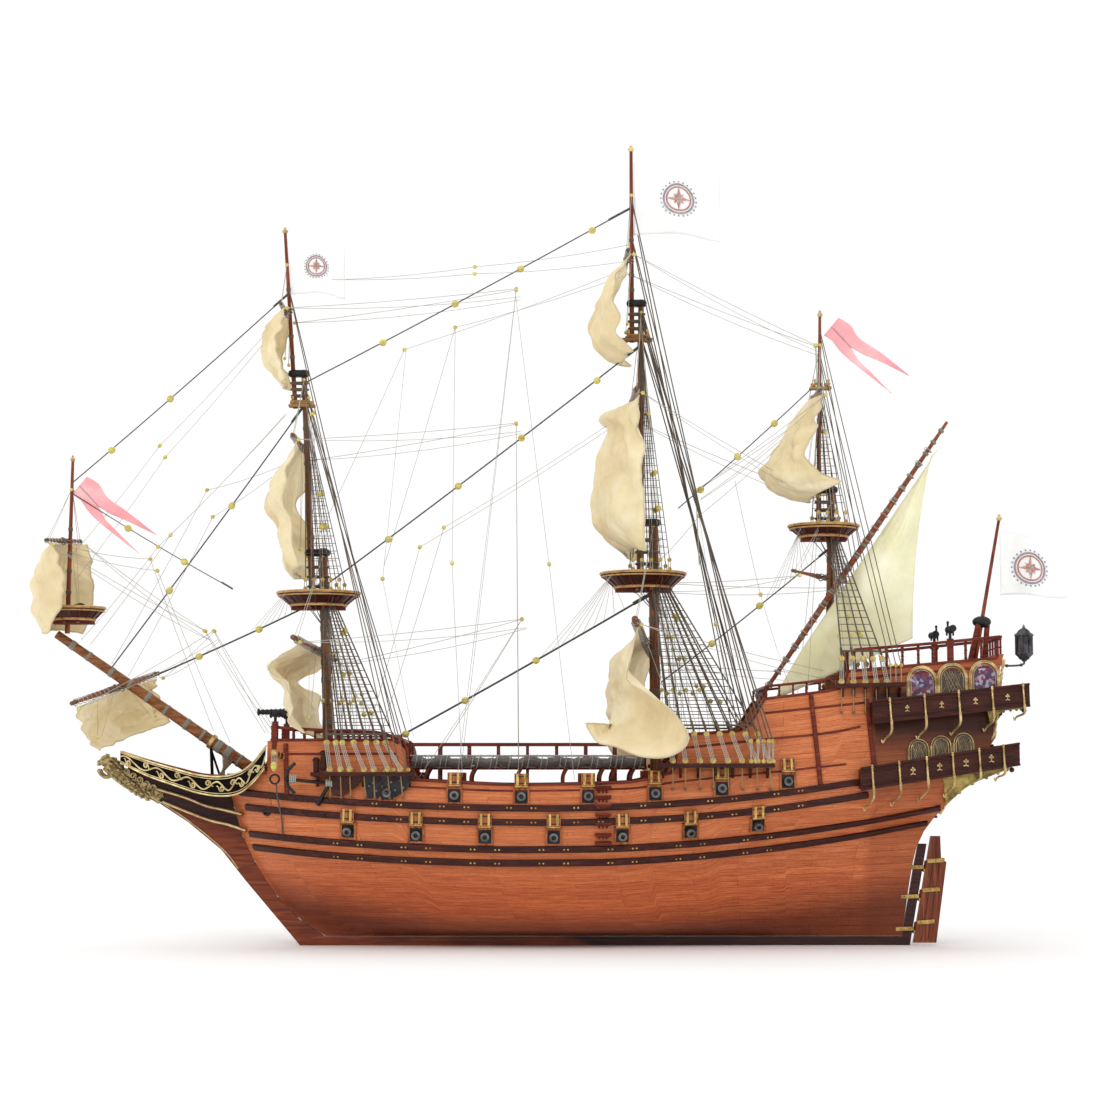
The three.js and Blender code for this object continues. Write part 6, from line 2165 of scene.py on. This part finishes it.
WOOLDING = cordage("woolding", (98, 82, 64), (172, 154, 124))
TOP_RIM = wood("top_rim_wood", (150, 106, 60), (198, 156, 100), (226, 194, 142), rough=(0.4, 0.55))
# the tops' cones are dressed in the dark wale wood as painted shade for the open space between each top's rim
# and its floor
dress(WALE, "sprit_top", "fore_top", "main_top", "mizzen_top")
make_mast_gear()


# ---- Backstays, lifts, braces, clew lines and their blocks -------------------------------------------
def rigged(shape, points, radius=0.2, sag=0.6, blocks=(), size=1.8):
    """One running line through several points, with a block at each numbered point."""
    points = [Vector(p) for p in points]
    for a, b in zip(points, points[1:]):
        line(shape, a, b, radius, sag, steps=6)
    for k in blocks:
        way = points[min(k + 1, len(points) - 1)] - points[max(k - 1, 0)]
        block(points[k], size, way)


def deck_side(x, z, side, inset=2.0):
    return Vector((x, side * (hull_y(x, z) - inset), z))


def make_backstays():
    for side in SIDES:
        main = [("main_topgallant_mast", 498, 88, 0.42), ("main_topgallant_mast", 472, 92.5, 0.42),
                ("main_topmast", 424, 96, 0.5),
                ("main_topmast", 418, 99.5, 0.5), ("main_topmast", 404, 102, 0.45)]
        for mast, z, x, radius in main:
            foot = Vector((x, side * (hull_y(x, 118) + 8.6), 119))
            line(BACKSTAYS, at_height(mast, z, side * 1.5), foot + Vector((0, 0, 14)), radius, sides=5)
            line(LANYARDS, foot + Vector((0.7, 0, 14)), foot, 0.3)
            line(LANYARDS, foot + Vector((-0.7, 0, 14)), foot, 0.3)
            deadeye(foot + Vector((0, 0, 13.4)), (0, side, 0), 1.5)
            deadeye(foot + Vector((0, 0, 0.6)), (0, side, 0), 1.5)
        for mast, z, x in (("fore_topgallant_mast", 438, -139), ("fore_topmast", 372, -134),
                           ("fore_topmast", 362, -129.5)):
            foot = Vector((x, side * (hull_y(x, 112) + 8.6), 113.5))
            line(BACKSTAYS, at_height(mast, z, side * 1.4), foot, 0.36, sides=5)
            deadeye(foot + Vector((0, 0, 0.8)), (0, side, 0), 1.4)
        for mast, z, x in (("mizzen_topmast", 408, 187), ("mizzen_topmast", 392, 183.5),
                           ("mizzen_topmast", 376, 180)):
            foot = Vector((x, side * (hull_y(x, 169) + 5.4), 170))
            line(BACKSTAYS, at_height(mast, z, side * 1.2), foot + Vector((0, 0, 12)), 0.32, sides=5)
            line(LANYARDS, foot + Vector((0, 0, 12)), foot, 0.3)
            deadeye(foot + Vector((0, 0, 11.6)), (0, side, 0), 1.3)


LIFTS = [("fore_course_yard", "foremast", 256), ("fore_topsail_yard", "fore_topmast", 374),
         ("fore_topgallant_yard", "fore_topgallant_mast", 452),
         ("main_course_yard", "mainmast", 276), ("main_topsail_yard", "main_topmast", 420),
         ("main_topgallant_yard", "main_topgallant_mast", 500),
         ("crossjack_yard", "mizzenmast", 292), ("mizzen_topsail_yard", "mizzen_topmast", 398),
         ("sprit_topsail_yard", "sprit_topmast", 300)]
BRACES = [
    # yard, where the brace turns, where it comes down
    ("fore_course_yard", (-58, 214), (-124, 110)), ("fore_topsail_yard", (-62, 345), (-60, 108)),
          ("fore_topgallant_yard", (-62, 436), (-100, 106)),
    ("main_course_yard", (150, 178), (120, 168)), ("main_topsail_yard", (140, 296), (128, 166)),
          ("main_topgallant_yard", (139, 398), (142, 300)),
    ("crossjack_yard", (36, 238), (46, 138)), ("mizzen_topsail_yard", (58, 300), (60, 250)),
          ("spritsail_yard", (-262, 206), (-222, 138)),
    ("sprit_topsail_yard", (-268, 206), (-224, 138)),
]
STAY_BLOCKS = [
    # which stay, how far aft along it from its forward end
    (6, 0.18), (6, 0.45), (3, 0.3), (3, 0.62), (0, 0.35), (0, 0.66), (4, 0.2), (4, 0.42), (4, 0.62),
               (4, 0.86), (7, 0.24), (7, 0.46), (7, 0.66), (7, 0.88),
    (1, 0.16), (1, 0.36), (1, 0.6), (5, 0.16), (5, 0.42), (5, 0.68), (2, 0.3), (2, 0.58), (8, 0.35), (8, 0.7),
]
CLEWS = {
    # yard: where the lower corners hang, from the yard: dx, share of the yard, how far below
    "fore_course_yard": (2, 0.62, 64), "fore_topsail_yard": (0, 0.5, 96),
         "fore_topgallant_yard": (-2, 0.5, 46), "main_course_yard": (24, 0.6, 70),
    "main_topsail_yard": (-2, 0.55, 108), "main_topgallant_yard": (-4, 0.5, 62),
         "mizzen_topsail_yard": (-8, 0.6, 74), "spritsail_yard": (6, 0.7, 34),
    "sprit_topsail_yard": (2, 0.6, 56),
}


def make_running_lines():
    for yard, mast, z in LIFTS:
        for side in SIDES:
            tip = yard_point(yard, side * 0.93)
            rigged(LINES, [tip, at_height(mast, z, side * 2.2),
                           tip.lerp(yard_point(yard, side * 0.2), 0.2) + Vector((0, 0, 1))], 0.2, 0.4, (1,),
                   1.3)
    for yard, (x1, z1), (x2, z2) in BRACES:
        for side in SIDES:
            tip = yard_point(yard, side * 0.95)
            hang = tip + Vector((4, 0, -3))
            turn = Vector((x1, side * 2.0, z1))
            rigged(LINES, [tip, hang, turn, Vector((x2, side * 30 if z2 < 200 else side * 3, z2))], 0.19, 1.2,
                   (1, 2), 1.4)
            line(LINES, hang, turn + Vector((3, side * 3, -6)), 0.17, 3.0)
    for yard, (dx, share, drop) in CLEWS.items():
        for side in SIDES:
            corner = yard_point(yard, side * share) + Vector((dx, 0, -drop))
            for near in (0.25, 0.75):
                top = yard_point(yard, side * share * near)
                rigged(LINES, [top + Vector((3.0, 0, -2)), corner.lerp(top, 0.25) + Vector((3.0, 0, 0))],
                       0.16, 0.2, (1,) if near > 0.5 else (), 1.2)
    # bowlines and falls led forward and down from the stays
    for start, turn, end in (((-212, 5, 320), (-268, 0, 300), (-330, 2, 184)),
                             ((-212, -5, 318), (-264, 0, 282), (-318, -2, 176)),
                             ((12, 6, 350), (-126, 0, 262), (-160, 8, 140)),
                             ((12, -6, 352), (-110, -1, 275), (-150, -8, 140)),
                             ((10, 4, 446), (-103, 0, 410), (-150, 6, 250)),
                             ((8, -4, 448), (-137, 0, 395), (-196, -6, 262)),
                             ((135, 3, 350), (60, 0, 283), (30, 4, 250)),
                             ((-358, 3, 262), (-305, 0, 254), (-262, 3, 140)),
                             ((-358, -3, 258), (-300, -1, 246), (-250, -3, 132)),
                             ((-103, 0, 410), (-104, -14, 250), (-96, -40, 110)),
                             ((-136, 0, 394), (-150, -10, 240), (-128, -30, 136)),
                             ((-63, 0, 436), (-40, -8, 250), (-24, -48, 108)),
                             ((-216, -2, 350), (-300, 0, 262), (-350, 0, 200)),
                             ((-216, 2, 352), (-292, 1, 270), (-344, 1, 197)),
                             ((-214, 3, 425), (-300, 1, 330), (-356, 1, 258)),
                             ((-214, -3, 420), (-296, -1, 322), (-354, -1, 240)),
                             ((60, 0, 283), (70, -10, 210), (80, -46, 140)),
                             ((84, 0, 307), (100, -6, 230), (116, -40, 165)),
                             ((-186, 3, 443), (-90, 3, 452), (14, 2, 467)),
                             ((-186, -3, 442), (-90, -3, 446), (14, -2, 455))):
        rigged(LINES, [start, turn, end], 0.17, 1.6, (1,), 1.5)
    for k in range(9):
        share = spaced(0.62, 0.9, 9)[k]
        low, high = Vector(STAY_RUNS[1][1]), Vector(STAY_RUNS[1][2])
        line(LINES, Vector((22 - 20, (k - 4) * 5.2, 243)), low.lerp(high, share), 0.16)
        low, high = Vector(STAY_RUNS[0][1]), Vector(STAY_RUNS[0][2])
        line(LINES, Vector((-193 - 20, (k - 4) * 5.0, 230)), low.lerp(high, share), 0.16)
        low, high = Vector(STAY_RUNS[2][1]), Vector(STAY_RUNS[2][2])
        line(LINES, Vector((143 - 16, (k - 4) * 4.0, 275)), low.lerp(high, share), 0.15)
    for stay, share in STAY_BLOCKS:
        low, high = Vector(STAY_RUNS[stay][1]), Vector(STAY_RUNS[stay][2])
        block(low.lerp(high, share) - Vector((0, 0, 1.2)), 2.5, high - low)
    # falls that belay along the masts and shrouds
    for mast, top_z, xs in (("foremast", 226, (-186, -178, -168, -158)), ("mainmast", 240, (34, 44, 56, 68)),
                            ("mizzenmast", 262, (150, 160, 170))):
        for side in SIDES:
            for k, x in enumerate(xs):
                foot = deck_side(x, 133 if mast == "foremast" else 137 if mast == "mainmast" else 178, side,
                                 4)
                rigged(LINES, [at_height(mast, top_z - 6 * k, side * 3),
                               foot.lerp(at_height(mast, top_z, 0), 0.28), foot], 0.17, 0.5, (1,), 1.5)
    for mast, top_z, deck_z, hangers in (("foremast", 226, 133,
                                          ((-182, 20, 190), (-174, 26, 176), (-176, 12, 204), (-166, 30, 162),
                                           (-160, 34, 150))),
                                         ("mainmast", 240, 137, ((40, 22, 200), (48, 28, 186), (44, 15, 214),
                                             (60, 36, 168), (70, 42, 158))),
                                         ("mizzenmast", 268, 178, ((150, 12, 232), (156, 18, 214),
                                             (162, 24, 204))),
                                         ("fore_topmast", 372, 232,
                                          ((-198, 6, 350), (-192, 12, 296), (-190, 16, 274))),
                                         ("main_topmast", 416, 246,
                                          ((26, 12, 350), (30, 18, 310), (32, 20, 286))),
                                         ("mizzen_topmast", 396, 278, ((144, 8, 338), (147, 14, 304)))):
        for k, (x, y, z) in enumerate(hangers):
            for side in SIDES:
                at = Vector((x, side * y, z + 3 * (side > 0)))
                foot = deck_side(x + 3, deck_z, side, 4) if deck_z in (133, 137,
                    178) else Vector((x + 2, side * 22, deck_z))
                rigged(LINES, [at_height(mast, top_z - 3 * k, side * 2), at, foot], 0.17, 0.3, (1,),
                       1.5 + 0.25 * (k % 3))


make_backstays()
make_running_lines()


# ---- Stage ------------------------------------------------------------------------------------------
def make_stage():
    """A pale floor that sweeps up into a backdrop."""
    shape = Shape()
    rows = []
    for y, z in [(-6000, 0), (0, 0), (1800, 0), (2600, 90), (3100, 420), (3300, 1000), (3400, 4200)]:
        rows.append([Vector((x, y, z - 0.05)) for x in (-6000, -2000, 2000, 6000)])
    mesh = bpy.data.meshes.new("studio_floor")
    wide = 4
    faces = [(r * wide + c, r * wide + c + 1, (r + 1) * wide + c + 1, (r + 1) * wide + c)
             for r in range(len(rows) - 1) for c in range(wide - 1)]
    mesh.from_pydata([p * MM for row in rows for p in row], [], faces)
    mesh.materials.append(plain_stage("studio_white", (0.985, 0.985, 0.985, 1.0)))
    mesh.polygons.foreach_set("use_smooth", [True] * len(mesh.polygons))
    add_object("studio_floor", mesh)


rig_pieces()
make_stage()
